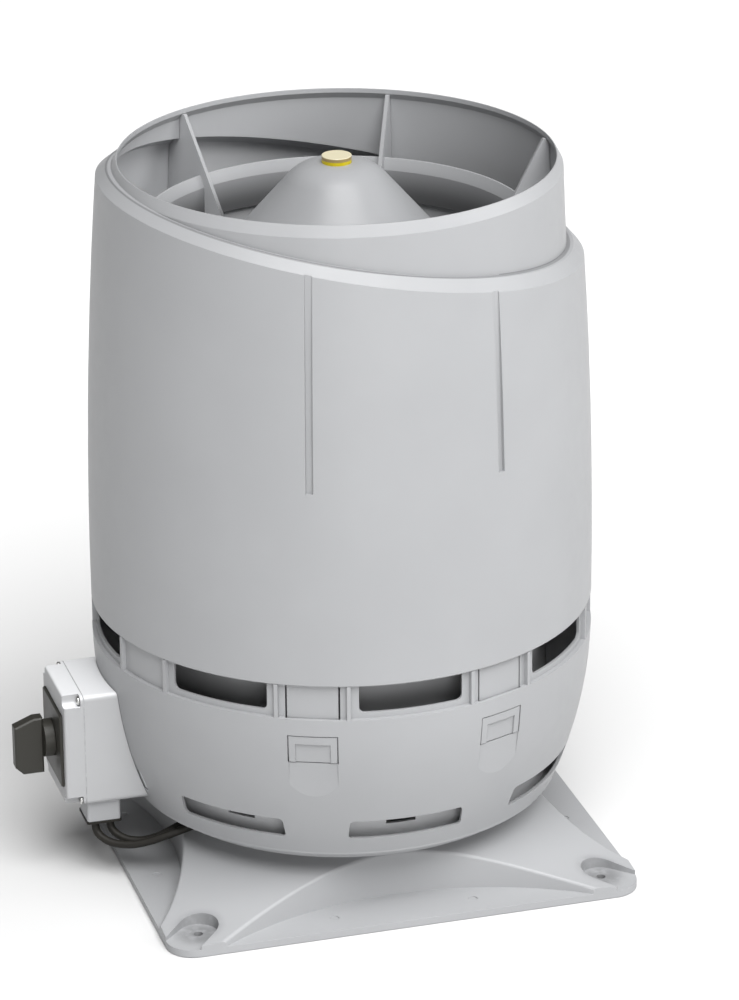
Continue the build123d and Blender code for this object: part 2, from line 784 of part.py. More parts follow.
# Bullseye level: a clear body and the liquid in it
level_low_z = hub_top_z - level_seat
bottom = (Align.CENTER, Align.CENTER, Align.MIN)
liquid_h = level_height - level_floor - level_cap
with BuildPart() as level_body:
    with Locations((0, 0, level_low_z)):
        Cylinder(level_r, level_height, align=bottom)
    fillet(level_body.edges().group_by(Axis.Z)[-1], radius=level_floor / 2)
    with Locations((0, 0, level_low_z + level_floor)):
        Cylinder(level_r - level_wall, liquid_h, align=bottom, mode=Mode.SUBTRACT)
level_body.part.label = "level_body"
export_step(level_body.part, "parts/level_body.step")

with BuildPart() as level_liquid:
    with Locations((0, 0, level_low_z + level_floor)):
        Cylinder(level_r - level_wall, liquid_h, align=bottom)
level_liquid.part.label = "level_liquid"
export_step(level_liquid.part, "parts/level_liquid.step")

# Motor plate under the ledge of the cover
with BuildPart() as motor_plate:
    with BuildSketch(Plane.XY.offset(motor_plate_z)):
        Circle(hub_r - hub_wall - motor_plate_fit)
        Circle(cable_hole_r, mode=Mode.SUBTRACT)
        with PolarLocations(plate_screw_r, plate_screw_count, start_angle=-90):
            Circle(screw_r + screw_fit, mode=Mode.SUBTRACT)
        with PolarLocations(stator_screw_r, stator_screw_count, start_angle=-90):
            Circle(screw_r + screw_fit, mode=Mode.SUBTRACT)
    extrude(amount=motor_plate_t)
motor_plate.part.label = "motor_plate"
export_step(motor_plate.part, "parts/motor_plate.step")

# Stator with its flange and bearing tube
flange_low_z = motor_plate_z - stator_flange_t
with BuildPart() as motor_stator:
    with BuildSketch(Plane.XZ):
        with BuildLine():
            Polyline(
                (bearing_r, stator_low_z),
                (stator_r, stator_low_z),
                (stator_r, stator_top_z),
                (stator_neck_r, stator_top_z),
                (stator_neck_r, flange_low_z),
                (stator_flange_r, flange_low_z),
                (stator_flange_r, motor_plate_z),
                (bearing_r, motor_plate_z),
                close=True,
            )
        make_face()
    revolve(axis=Axis.Z)
    with Locations(*around(stator_screw_r, stator_screw_count)):
        with Locations((0, 0, motor_plate_z)):
            Cylinder(screw_r + screw_fit, 2 * stator_flange_t, mode=Mode.SUBTRACT)
motor_stator.part.label = "motor_stator"
export_step(motor_stator.part, "parts/motor_stator.step")

# Bearings in the tube
bearing_low_zs = {"lower": stator_low_z, "upper": rotor_top_z - bearing_w}
for place, low_z in bearing_low_zs.items():
    with BuildPart() as bearing:
        with BuildSketch(Plane.XY.offset(low_z)):
            Circle(bearing_r)
            Circle(shaft_r + shaft_fit, mode=Mode.SUBTRACT)
        extrude(amount=bearing_w)
    bearing.part.label = f"bearing_{place}"
    export_step(bearing.part, f"parts/bearing_{place}.step")

# Rotor can
with BuildPart() as motor_rotor:
    with BuildSketch(Plane.XZ):
        with BuildLine():
            Polyline(
                (shaft_r, rotor_low_z),
                (rotor_r, rotor_low_z),
                (rotor_r, rotor_top_z),
                (stator_r + air_gap, rotor_top_z),
                (stator_r + air_gap, rotor_low_z + rotor_floor_t),
                (rotor_boss_r, rotor_low_z + rotor_floor_t),
                (rotor_boss_r, rotor_low_z + rotor_floor_t + rotor_boss_h),
                (shaft_r, rotor_low_z + rotor_floor_t + rotor_boss_h),
                close=True,
            )
        make_face()
    revolve(axis=Axis.Z)
    with Locations(*around(impeller_screw_r, impeller_screw_count)):
        with Locations((0, 0, rotor_low_z)):
            Cylinder(screw_r + screw_fit, 4 * rotor_floor_t, mode=Mode.SUBTRACT)
motor_rotor.part.label = "motor_rotor"
export_step(motor_rotor.part, "parts/motor_rotor.step")

with BuildPart() as motor_shaft:
    with Locations((0, 0, rotor_low_z)):
        Cylinder(shaft_r, shaft_top_z - rotor_low_z, align=bottom)
motor_shaft.part.label = "motor_shaft"
export_step(motor_shaft.part, "parts/motor_shaft.step")

# Impeller: backward-curved blades between a dished shroud and a flat backplate
backplate_z = rotor_low_z - backplate_t
shroud_mid = ((impeller_eye_r + impeller_r) / 2, (impeller_low_z + shroud_tip_z) / 2)
shroud_run = hypot(impeller_r - impeller_eye_r, shroud_tip_z - impeller_low_z)
bow_point = (
    shroud_mid[0] - shroud_bow * (shroud_tip_z - impeller_low_z) / shroud_run,
    shroud_mid[1] + shroud_bow * (impeller_r - impeller_eye_r) / shroud_run,
)
blade_root_r = impeller_eye_r + blade_root_gap
blade_tip_r = impeller_r - shroud_t
blade_mid_r = (blade_root_r + blade_tip_r) / 2 + blade_bow
with BuildSketch() as blade_plan:
    with BuildLine():
        ThreePointArc(
            outward(0) * blade_root_r,
            outward(blade_sweep / 2) * blade_mid_r,
            outward(blade_sweep) * blade_tip_r,
        )
    trace(line_width=blade_t)
with BuildPart() as impeller:
    with BuildSketch(Plane.XY.offset(impeller_low_z)):
        with PolarLocations(0, blade_count):
            add(blade_plan.sketch)
    extrude(amount=backplate_z - impeller_low_z + backplate_t / 2)
    with BuildSketch(Plane.XZ):
        with BuildLine():
            Line((0, impeller_low_z), (impeller_eye_r, impeller_low_z))
            ThreePointArc((impeller_eye_r, impeller_low_z), bow_point, (impeller_r, shroud_tip_z))
            Polyline((impeller_r, shroud_tip_z), (impeller_r, 0), (0, 0), (0, impeller_low_z))
        make_face()
    revolve(axis=Axis.Z, mode=Mode.SUBTRACT)
    with BuildSketch(Plane.XZ):
        with BuildLine():
            ThreePointArc((impeller_eye_r, impeller_low_z), bow_point, (impeller_r, shroud_tip_z))
            Line((impeller_r, shroud_tip_z), (impeller_r, shroud_tip_z + shroud_t))
            ThreePointArc(
                (impeller_r, shroud_tip_z + shroud_t),
                (bow_point[0], bow_point[1] + shroud_t),
                (impeller_eye_r, impeller_low_z + shroud_t),
            )
            Line((impeller_eye_r, impeller_low_z + shroud_t), (impeller_eye_r, impeller_low_z))
        make_face()
    revolve(axis=Axis.Z)
    with BuildSketch(Plane.XY.offset(backplate_z)):
        Circle(impeller_r)
        Circle(impeller_bore_r, mode=Mode.SUBTRACT)
        with PolarLocations(impeller_screw_r, impeller_screw_count, start_angle=-90):
            Circle(screw_r + screw_fit, mode=Mode.SUBTRACT)
    extrude(amount=backplate_t)
impeller.part.label = "impeller"
export_step(impeller.part, "parts/impeller.step")

# Latches: a tongue behind the band, a press tab in the bowl's opening and a barrel on the jacket's bar
for number, angle in enumerate(latch_angles, start=1):
    tab_half = degrees(tab_w / 2 / bowl_radius(tab_top_z))
    with BuildPart() as latch:
        with BuildSketch(section_plane(angle - latch_half_angle)):
            with BuildLine():
                Polyline(
                    (band_r - latch_t, tab_low_z),
                    (band_r, tab_top_z - latch_t),
                    (band_r, latch_pivot_z),
                    (band_r - latch_t, latch_pivot_z),
                    close=True,
                )
            make_face()
        revolve(axis=Axis.Z, revolution_arc=2 * latch_half_angle)
        with BuildSketch(section_plane(angle - tab_half)):
            with BuildLine():
                tab_mid_z = (tab_low_z + tab_top_z) / 2
                Polyline(
                    (bowl_radius(tab_low_z) - tab_sink, tab_low_z),
                    (band_r - 2 * latch_t, tab_low_z),
                    (band_r - latch_t, tab_top_z),
                    (bowl_radius(tab_top_z) - tab_sink, tab_top_z),
                )
                ThreePointArc(
                    (bowl_radius(tab_top_z) - tab_sink, tab_top_z),
                    (bowl_radius(tab_mid_z) - tab_sink, tab_mid_z),
                    (bowl_radius(tab_low_z) - tab_sink, tab_low_z),
                )
            make_face()
        revolve(axis=Axis.Z, revolution_arc=2 * tab_half)
        with BuildSketch(section_plane(angle)):
            with BuildLine():
                Polyline(
                    (bowl_radius(tab_low_z) - tab_sink - grip_depth, tab_low_z),
                    (bowl_radius(tab_low_z + grip_height) - tab_sink - grip_depth, tab_low_z + grip_height),
                    (body_r + grip_depth, tab_low_z + grip_height),
                    (body_r + grip_depth, tab_low_z),
                    close=True,
                )
            make_face()
        extrude(amount=grip_half_w, both=True, mode=Mode.SUBTRACT)
        with BuildSketch(section_plane(angle)):
            with Locations((latch_pivot_r, latch_pivot_z)):
                Circle(latch_barrel_r)
        extrude(amount=tongue_w / 2, both=True)
        with BuildSketch(section_plane(angle)):
            with Locations((latch_pivot_r, latch_pivot_z)):
                Circle(latch_bar_r + latch_bar_fit)
        extrude(amount=tongue_w, both=True, mode=Mode.SUBTRACT)
    latch.part.label = f"latch_{number}"
    export_step(latch.part, f"parts/latch_{number}.step")

# Isolator base, shaped to the bowl
corner_spots = [
    (side_y * (box_width / 2 - screw_inset), box_mid_z + side_z * (box_height / 2 - screw_inset))
    for side_y in (-1, 1)
    for side_z in (-1, 1)
]
with BuildPart() as isolator_base:
    with BuildSketch(Plane.YZ.offset(base_front_x)):
        with Locations((0, box_mid_z)):
            RectangleRounded(box_width, box_height, box_edge_r)
    extrude(amount=-base_front_x)
    with BuildSketch(Plane.YZ.offset(base_front_x)):
        with Locations((0, box_mid_z)):
            RectangleRounded(box_width - 2 * box_wall, box_height - 2 * box_wall, box_edge_r - box_wall)
        with Locations(*corner_spots):
            Circle(screw_notch_r, mode=Mode.SUBTRACT)
    extrude(amount=box_floor_x - base_front_x, mode=Mode.SUBTRACT)
    with BuildSketch(Plane.XZ):
        with BuildLine():
            low_z = box_low_z - box_wall
            high_z = box_top_z + box_wall
            mid_z = (low_z + high_z) / 2
            Polyline((bowl_radius(high_z) + box_seat_gap, high_z), (0, high_z), (0, low_z),
                     (bowl_radius(low_z) + box_seat_gap, low_z))
            ThreePointArc(
                (bowl_radius(low_z) + box_seat_gap, low_z),
                (bowl_radius(mid_z) + box_seat_gap, mid_z),
                (bowl_radius(high_z) + box_seat_gap, high_z),
            )
        make_face()
    revolve(axis=Axis.Z, mode=Mode.SUBTRACT)
    with BuildSketch(Plane.YZ.offset(base_front_x)):
        with Locations(*box_screw_spots):
            Circle(screw_r + screw_fit)
    extrude(amount=-base_front_x, mode=Mode.SUBTRACT)
    with BuildSketch(Plane.YZ.offset(base_front_x)):
        with Locations(*corner_spots):
            Circle(screw_r / 2 + screw_fit)
    extrude(amount=lid_depth, mode=Mode.SUBTRACT)
isolator_base.part.label = "isolator_base"
export_step(isolator_base.part, "parts/isolator_base.step")

# Gasket and lid of the isolator, with recessed corners for the lid screws
with BuildPart() as isolator_gasket:
    with BuildSketch(Plane.YZ.offset(lid_back_x)):
        with Locations((0, box_mid_z)):
            RectangleRounded(box_width, box_height, box_edge_r)
            RectangleRounded(
                box_width - 2 * box_wall, box_height - 2 * box_wall, box_edge_r - box_wall, mode=Mode.SUBTRACT
            )
        with Locations(*corner_spots):
            Circle(screw_r / 2 + screw_fit, mode=Mode.SUBTRACT)
    extrude(amount=gasket_t)
isolator_gasket.part.label = "isolator_gasket"
export_step(isolator_gasket.part, "parts/isolator_gasket.step")

with BuildPart() as isolator_lid:
    with BuildSketch(Plane.YZ.offset(lid_back_x)):
        with Locations((0, box_mid_z)):
            RectangleRounded(box_width, box_height, lid_edge_r)
    extrude(amount=-lid_depth)
    fillet(isolator_lid.faces().sort_by(Axis.X)[0].edges(), radius=lid_edge_r / 2)
    with BuildSketch(Plane.YZ.offset(lid_back_x)):
        with Locations((0, box_mid_z)):
            RectangleRounded(box_width - 2 * box_wall, box_height - 2 * box_wall, lid_edge_r - box_wall)
        with Locations(*corner_spots):
            Circle(screw_notch_r + box_wall, mode=Mode.SUBTRACT)
    extrude(amount=box_wall - lid_depth, mode=Mode.SUBTRACT)
    with BuildSketch(Plane.YZ.offset(lid_back_x - screw_seat_t)):
        for spot_y, spot_z in corner_spots:
            with Locations((spot_y, spot_z)):
                Circle(screw_notch_r)
            out_y = box_width / 2 if spot_y > 0 else -box_width / 2
            out_z = box_height / 2 if spot_z > box_mid_z else -box_height / 2
            with Locations((out_y, spot_z)):
                Rectangle(2 * screw_inset, 2 * screw_notch_r)
            with Locations((spot_y, box_mid_z + out_z)):
                Rectangle(2 * screw_notch_r, 2 * screw_inset)
    extrude(amount=-lid_depth, mode=Mode.SUBTRACT)
    with BuildSketch(Plane.YZ.offset(lid_back_x)):
        with Locations(*corner_spots):
            Circle(screw_r / 2 + screw_fit)
    extrude(amount=-2 * screw_seat_t, mode=Mode.SUBTRACT)
    with BuildSketch(Plane.YZ.offset(lid_back_x)):
        with Locations((0, switch_z)):
            Circle(journal_r + journal_fit)
    extrude(amount=-2 * lid_depth, mode=Mode.SUBTRACT)
isolator_lid.part.label = "isolator_lid"
export_step(isolator_lid.part, "parts/isolator_lid.step")

lid_screw_x = lid_back_x - screw_seat_t
with BuildPart() as isolator_lid_screws:
    with BuildSketch(Plane.YZ.offset(lid_screw_x)):
        with Locations(*corner_spots):
            Circle(head_r - screw_fit)
    extrude(amount=-head_h)
    with BuildSketch(Plane.YZ.offset(lid_screw_x)):
        with Locations(*corner_spots):
            Circle(screw_r / 2)
    extrude(amount=screw_seat_t + gasket_t + lid_depth / 2)
isolator_lid_screws.part.label = "isolator_lid_screws"
export_step(isolator_lid_screws.part, "parts/isolator_lid_screws.step")

# Escutcheon on the lid
with BuildPart() as isolator_escutcheon:
    with BuildSketch(Plane.YZ.offset(box_face_x)):
        with Locations((0, switch_z)):
            RectangleRounded(plate_side, plate_side, plate_depth)
    extrude(amount=-plate_depth)
    chamfer(isolator_escutcheon.faces().sort_by(Axis.X)[0].edges(), length=plate_bevel)
    with BuildSketch(Plane.YZ.offset(box_face_x)):
        with Locations((0, switch_z)):
            Circle(journal_r + journal_fit)
    extrude(amount=-2 * plate_depth, mode=Mode.SUBTRACT)
isolator_escutcheon.part.label = "isolator_escutcheon"
export_step(isolator_escutcheon.part, "parts/isolator_escutcheon.step")

# Handle: a round knob with a tall paddle, on a journal through the escutcheon and lid
with BuildPart() as isolator_handle:
    with BuildSketch(Plane.XZ.offset(-paddle_t / 2)):
        with BuildLine():
            Polyline(
                (paddle_x, switch_z - paddle_down),
                (paddle_x, switch_z + paddle_up),
                (paddle_x - paddle_depth + paddle_corner_x, switch_z + paddle_up),
                (paddle_x - paddle_depth, switch_z + paddle_up - paddle_corner_z),
                (paddle_x - paddle_depth, switch_z - paddle_down + paddle_corner_z),
                (paddle_x - paddle_depth + paddle_corner_z, switch_z - paddle_down),
                close=True,
            )
        make_face()
    extrude(amount=paddle_t)
    chamfer(isolator_handle.faces().filter_by(Axis.Y).edges(), length=paddle_bevel)
    with BuildSketch(Plane.YZ.offset(paddle_x)):
        with Locations((0, switch_z)):
            Circle(knob_r)
    extrude(amount=knob_depth)
    with BuildSketch(Plane.YZ.offset(paddle_x)):
        with Locations((0, switch_z)):
            Circle(journal_r)
    extrude(amount=knob_depth + knob_gap + plate_depth + box_wall)
    with BuildSketch(Plane.YZ.offset(paddle_x)):
        with Locations((0, switch_z)):
            Rectangle(spindle_side, spindle_side)
    extrude(amount=2 * knob_depth, mode=Mode.SUBTRACT)
isolator_handle.part.label = "isolator_handle"
export_step(isolator_handle.part, "parts/isolator_handle.step")

switch_front_x = base_front_x + gasket_t
with BuildPart() as isolator_spindle:
    with BuildSketch(Plane.YZ.offset(paddle_x)):
        with Locations((0, switch_z)):
            Rectangle(spindle_side, spindle_side)
    extrude(amount=(switch_front_x + box_floor_x) / 2 - paddle_x)
isolator_spindle.part.label = "isolator_spindle"
export_step(isolator_spindle.part, "parts/isolator_spindle.step")

with BuildPart() as isolator_switch:
    with BuildSketch(Plane.YZ.offset(switch_front_x)):
        with Locations((0, switch_z)):
            RectangleRounded(switch_block_side, switch_block_side, box_wall)
            Circle(spindle_hole_r, mode=Mode.SUBTRACT)
    extrude(amount=box_floor_x - switch_front_x)
isolator_switch.part.label = "isolator_switch"
export_step(isolator_switch.part, "parts/isolator_switch.step")

with BuildPart() as isolator_box_screws:
    with BuildSketch(Plane.YZ.offset(box_floor_x)):
        with Locations(*box_screw_spots):
            Circle(head_r)
    extrude(amount=-head_h)
    with BuildSketch(Plane.YZ.offset(box_floor_x)):
        with Locations(*box_screw_spots):
            Circle(screw_r)
    extrude(amount=box_screw_reach)
isolator_box_screws.part.label = "isolator_box_screws"
export_step(isolator_box_screws.part, "parts/isolator_box_screws.step")

# Cable entry below the isolator, with its rubber pad
with BuildPart() as cable_entry:
    with BuildSketch(Plane.XY.offset(box_low_z)):
        with Locations((entry_x, entry_y)):
            RectangleRounded(entry_w, entry_depth, box_wall)
    extrude(amount=-entry_height)
cable_entry.part.label = "cable_entry"
export_step(cable_entry.part, "parts/cable_entry.step")

with BuildPart() as cable_entry_pad:
    with BuildSketch(Plane.XY.offset(box_low_z - entry_height)):
        with Locations((entry_x, entry_y)):
            RectangleRounded(entry_w + 2 * entry_pad_proud, entry_depth + 2 * entry_pad_proud, box_wall)
    extrude(amount=-entry_pad_t)
cable_entry_pad.part.label = "cable_entry_pad"
export_step(cable_entry_pad.part, "parts/cable_entry_pad.step")

# Gland in the collar where the cables go in
with BuildPart() as collar_gland:
    with BuildSketch(face_plane(gland_angle, collar_r - base_wall, gland_mid_z)):
        RectangleRounded(gland_w, gland_height, gland_height / 4)
    extrude(amount=base_wall + gland_proud)
collar_gland.part.label = "collar_gland"
export_step(collar_gland.part, "parts/collar_gland.step")


def bend_radii(points):
    """Largest bend at each corner that leaves a straight in the middle of both its runs."""
    radii = []
    for before, corner, after in zip(points, points[1:], points[2:]):
        run_in = Vector(corner) - Vector(before)
        run_out = Vector(after) - Vector(corner)
        turn = acos(run_in.dot(run_out) / (run_in.length * run_out.length))
        radii.append(bend_share * min(run_in.length, run_out.length) / tan(turn / 2))
    return radii


# Cables
for name, route in (("supply_cable", supply_route), ("motor_cable", motor_route)):
    radii = bend_radii(route)
    with BuildPart() as cable:
        with BuildLine() as run:
            FilletPolyline(*route, radius=radii)
        with BuildSketch(Plane(origin=route[0], z_dir=Vector(route[1]) - Vector(route[0]))):
            Circle(cable_r)
        sweep(path=run.wire())
    ratio = cable.part.volume / (run.wire().length * pi * cable_r**2)
    print(name, "radii", [round(radius, 1) for radius in radii], "volume ratio", round(ratio, 3))
    cable.part.label = name
    export_step(cable.part, f"parts/{name}.step")


def screws(spots, head_z, head_up, reach):
    """Group of identical screws whose heads sit on the plane at head_z."""
    step = 1 if head_up else -1
    with BuildPart() as form:
        with BuildSketch(Plane.XY.offset(head_z)):
            with Locations(*spots):
                Circle(head_r)
        extrude(amount=step * head_h)
        with BuildSketch(Plane.XY.offset(head_z)):
            with Locations(*spots):
                Circle(screw_r)
        extrude(amount=-step * reach)
    return form.part


# Screws that clamp the casing and lower housing to the base
with BuildPart() as housing_screws:
    add(screws(
        around(housing_screw_r, housing_screw_count, pitch / 2),
        casing_low_z + casing_flange_t,
        True,
        casing_flange_t + foot_flange_t + screw_grip,
    ))
housing_screws.part.label = "housing_screws"
export_step(housing_screws.part, "parts/housing_screws.step")

with BuildPart() as cone_screws:
    add(screws(around(cone_screw_r, cone_screw_count), cone_flange_top_z, True, cone_t + screw_grip))
cone_screws.part.label = "cone_screws"
export_step(cone_screws.part, "parts/cone_screws.step")

with BuildPart() as plate_screws:
    add(screws(around(plate_screw_r, plate_screw_count), motor_plate_z, False, motor_plate_t + hub_ledge_t))
plate_screws.part.label = "plate_screws"
export_step(plate_screws.part, "parts/plate_screws.step")

with BuildPart() as stator_screws:
    add(screws(
        around(stator_screw_r, stator_screw_count),
        motor_plate_z + motor_plate_t,
        True,
        motor_plate_t + stator_flange_t,
    ))
stator_screws.part.label = "stator_screws"
export_step(stator_screws.part, "parts/stator_screws.step")

with BuildPart() as impeller_screws:
    add(screws(
        around(impeller_screw_r, impeller_screw_count),
        backplate_z,
        False,
        backplate_t + rotor_floor_t,
    ))
impeller_screws.part.label = "impeller_screws"
export_step(impeller_screws.part, "parts/impeller_screws.step")
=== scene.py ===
from math import cos, radians, sin

import bpy
from mathutils import Matrix, Vector


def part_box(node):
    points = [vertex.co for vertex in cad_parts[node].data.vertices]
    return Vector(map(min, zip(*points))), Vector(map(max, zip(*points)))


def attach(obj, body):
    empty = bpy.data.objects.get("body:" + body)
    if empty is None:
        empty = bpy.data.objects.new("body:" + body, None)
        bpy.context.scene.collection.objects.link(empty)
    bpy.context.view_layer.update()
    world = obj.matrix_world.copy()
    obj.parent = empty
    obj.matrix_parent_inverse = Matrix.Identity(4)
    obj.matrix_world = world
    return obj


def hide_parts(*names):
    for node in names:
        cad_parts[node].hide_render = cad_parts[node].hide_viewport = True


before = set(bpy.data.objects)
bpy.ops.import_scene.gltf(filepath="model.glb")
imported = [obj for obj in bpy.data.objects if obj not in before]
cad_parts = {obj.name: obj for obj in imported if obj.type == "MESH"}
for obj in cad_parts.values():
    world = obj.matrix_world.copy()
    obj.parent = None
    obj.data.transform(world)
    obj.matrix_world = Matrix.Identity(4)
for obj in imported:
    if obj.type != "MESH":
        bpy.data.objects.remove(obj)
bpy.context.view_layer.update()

bl_info = {
    "name": "Roof exhaust fan",
    "version": (1, 0, 0),
    "blender": (4, 5, 0),
    "location": "View3D > Sidebar > Roof fan",
    "description": "Finishes, cables, screws and studio of a vertical-discharge roof fan",
    "category": "Object",
}

MM = 0.001

# Camera found from the fan's own edges: image width and focal length in pixels, sensor width in millimetres,
# angles in degrees and the rest in metres
IMAGE_W = 739
FOCAL_PX = 4621.67
SENSOR_W = 36.0
AZIMUTH = -16.162
ELEVATION = 22.323
ROLL = -0.48
DISTANCE = 4.60346
TARGET_RIGHT = 0.029022
TARGET_HEIGHT = 0.357172

# Routes of the two cables, the same points as in the part's source, in metres
SUPPLY_ROUTE = [
    (-0.2680, -0.0340, 0.0577), (-0.2680, -0.0340, 0.0485), (-0.2640, -0.0400, 0.0415),
    (-0.2530, -0.0495, 0.0368), (-0.2345, -0.0600, 0.0376), (-0.2155, -0.0680, 0.0444),
    (-0.1975, -0.0730, 0.0515), (-0.1806, -0.0736, 0.0564), (-0.1645, -0.0687, 0.0572),
]
MOTOR_ROUTE = [
    (-0.2525, -0.0320, 0.0577), (-0.2525, -0.0320, 0.0490), (-0.2485, -0.0370, 0.0420),
    (-0.2375, -0.0455, 0.0368), (-0.2210, -0.0530, 0.0374), (-0.2040, -0.0590, 0.0450),
    (-0.1865, -0.0610, 0.0543), (-0.1697, -0.0557, 0.0572),
]

# Moulded plastic: scales of its flow tint, gloss patches and spark-eroded grain, the spread of its gloss,
# the grain's depth and its strength on smooth, plain and coarse mouldings, and the radius of rounded edges
FLOW_SCALE = 7.0
PATCH_SCALE = 60.0
GRAIN_SCALE = 2600.0
GLOSS_SPREAD = 0.10
GRAIN_DEPTH = 0.4 * MM
SMOOTH_GRAIN = 0.05
PLAIN_GRAIN = 0.10
COARSE_GRAIN = 0.12
EDGE_R = 0.8 * MM

# Angles past which an edge is shaded sharp: on the modelled pieces, and on the finely divided jacket
SHARP_ANGLE = radians(35)
JACKET_SHARP_ANGLE = radians(14)

# Jacket shoulder: its height on the axis, its fall towards +X, the half widths of the core and edge of the
# painted shade line along the seam, that painted shade's strength and the radii that the ring's outer wall
# lies between; then the height over which inner faces are painted lighter as painted light, and how far a face
# looks outwards at most to be an inner one
SHOULDER_Z = 0.6702
SHOULDER_SLOPE = 0.19
SEAM_CORE = 0.4 * MM
SEAM_EDGE = 1.4 * MM
SEAM_SHADE_STRENGTH = 0.45
RING_IN_R = 0.2217
RING_OUT_R = 0.2263
RING_LOW_Z = 0.60
INNER_FACING = -0.5

# Draw grooves of the jacket: the latches' angles from the front, half the width of the rib behind a groove,
# a radius that only the outer wall passes, and the distances within which points are one or share a corner
GROOVE_ANGLES = (-157.5, -22.5, 22.5, 157.5)
RIB_HALF_W = 7.0 * MM
OUTER_WALL_R = 0.2335
SAME_POINT = 0.001 * MM
SAME_CORNER = 0.1 * MM

# Diffuser: height and radius of its lip, the depth below the lip at which the painted shade is darkest, and
# how far a face looks along the ring at least to be a vane's side
LIP_Z = 0.6556
LIP_R = 0.1878
SHADE_DEPTH = 0.04
VANE_FACING = 0.7

# Bowl of the lower housing: its widest radius, the radius and centre of its curve, the drain slot's heights
# and half angle in degrees, and the height over the slots up to which the casing is painted lighter as painted
# light
BODY_R = 0.2507
BOWL_CURVE_R = 0.424
BOWL_CENTRE_R = BODY_R - BOWL_CURVE_R
BOWL_CENTRE_Z = 0.240
SLOT_LOW_Z = 0.0935
SLOT_HIGH_Z = 0.115
SLOT_HALF_ANGLE = 14.7
LIT_FOOT_RISE = 0.03

# Panel behind the isolator: its lap beyond the slot in height and in degrees, how deep it lies in the bowl's
# wall, its thickness, and the grid that it is shaped from
BLANK_LAP = 2.0 * MM
BLANK_LAP_ANGLE = 1.0
BLANK_INSET = 1.5 * MM
BLANK_WALL = 1.5 * MM
BLANK_COLUMNS = 24
BLANK_ROWS = 6

# Corner pockets of the base: half the bolt spacing, the pocket's radius, and how far inside and outside of it
# the darker patch thins out
BOLT_HALF = 0.207
POCKET_R = 0.022
POCKET_DARK_INSIDE = 12.0 * MM
POCKET_DARK_OUTSIDE = 8.0 * MM

# Level: depths below its top between which the amber band, a painted dark reflection, and the pale cap set in
AMBER_START = 4.4 * MM
AMBER_FULL = 3.4 * MM
CAP_START = 1.2 * MM
CAP_FULL = 0.5 * MM

# Lid screws: radius of the head, depth of the lid behind the head's seat, and the turn from one screw to the
# next in degrees; then, as shares of the head's radius, the shank's radius and the recess's length and width,
# and the crown's rounding as a share of the head's height
HEAD_R = 4.4 * MM
LID_SEAT = 3.0 * MM
SCREW_TURN = 23
SHANK_SHARE = 0.28
RECESS_LENGTH_SHARE = 1.1
RECESS_WIDTH_SHARE = 0.26
CROWN_SHARE = 0.45

# Studio: the floor's side and drop, the radii between which its glow rises, the strength of the background,
# the lamps' aim and width, each lamp's name, place and power, and the sky's place, spread and strength
FLOOR_SIDE = 30.0
FLOOR_DROP = 0.5 * MM
GLOW_NEAR = 0.3
GLOW_FAR = 1.6
WORLD_STRENGTH = 0.13
LAMP_AIM = Vector((0.0, 0.0, 0.35))
LAMP_W = 1.6
LAMPS = (
    ("side", (2.64, -1.01, 1.85), 44.0),
    ("front", (-0.40, -3.20, 0.60), 40.0),
)
SKY_PLACE = Vector((0.05, -1.20, 2.4))
SKY_SPREAD = 50.0
SKY_STRENGTH = 5.1

HOUSING_NODES = ("lower_housing", "jacket", "latch_1", "latch_2", "latch_3", "latch_4", "cable_entry")
STEEL_NODES = (
    "housing_screws", "cone_screws", "plate_screws", "stator_screws", "impeller_screws",
    "isolator_box_screws", "motor_shaft", "bearing_lower", "bearing_upper", "isolator_spindle",
)


class Wire:
    """One output socket of a node tree, so that shader sums read as plain expressions."""

    def __init__(self, finish, socket):
        self.finish = finish
        self.socket = socket

    def _maths(self, operation, *values):
        return self.finish.node("ShaderNodeMath", {"operation": operation}, dict(enumerate(values)))

    def __add__(self, other):
        return self._maths("ADD", self, other)

    def __radd__(self, other):
        return self._maths("ADD", other, self)

    def __sub__(self, other):
        return self._maths("SUBTRACT", self, other)

    def __rsub__(self, other):
        return self._maths("SUBTRACT", other, self)

    def __mul__(self, other):
        return self._maths("MULTIPLY", self, other)

    def __rmul__(self, other):
        return self._maths("MULTIPLY", other, self)

    def __truediv__(self, other):
        return self._maths("DIVIDE", self, other)

    def __lt__(self, other):
        return self._maths("LESS_THAN", self, other)

    def __gt__(self, other):
        return self._maths("GREATER_THAN", self, other)

    def __abs__(self):
        return self._maths("ABSOLUTE", self)

    def root(self):
        return self._maths("SQRT", self)

    def between(self, low, high):
        """0 below low, 1 above high and a smooth rise between them."""
        settings = {"interpolation_type": "SMOOTHSTEP", "clamp": True}
        inputs = {"Value": self, "From Min": low, "From Max": high}
        return self.finish.node("ShaderNodeMapRange", settings, inputs)


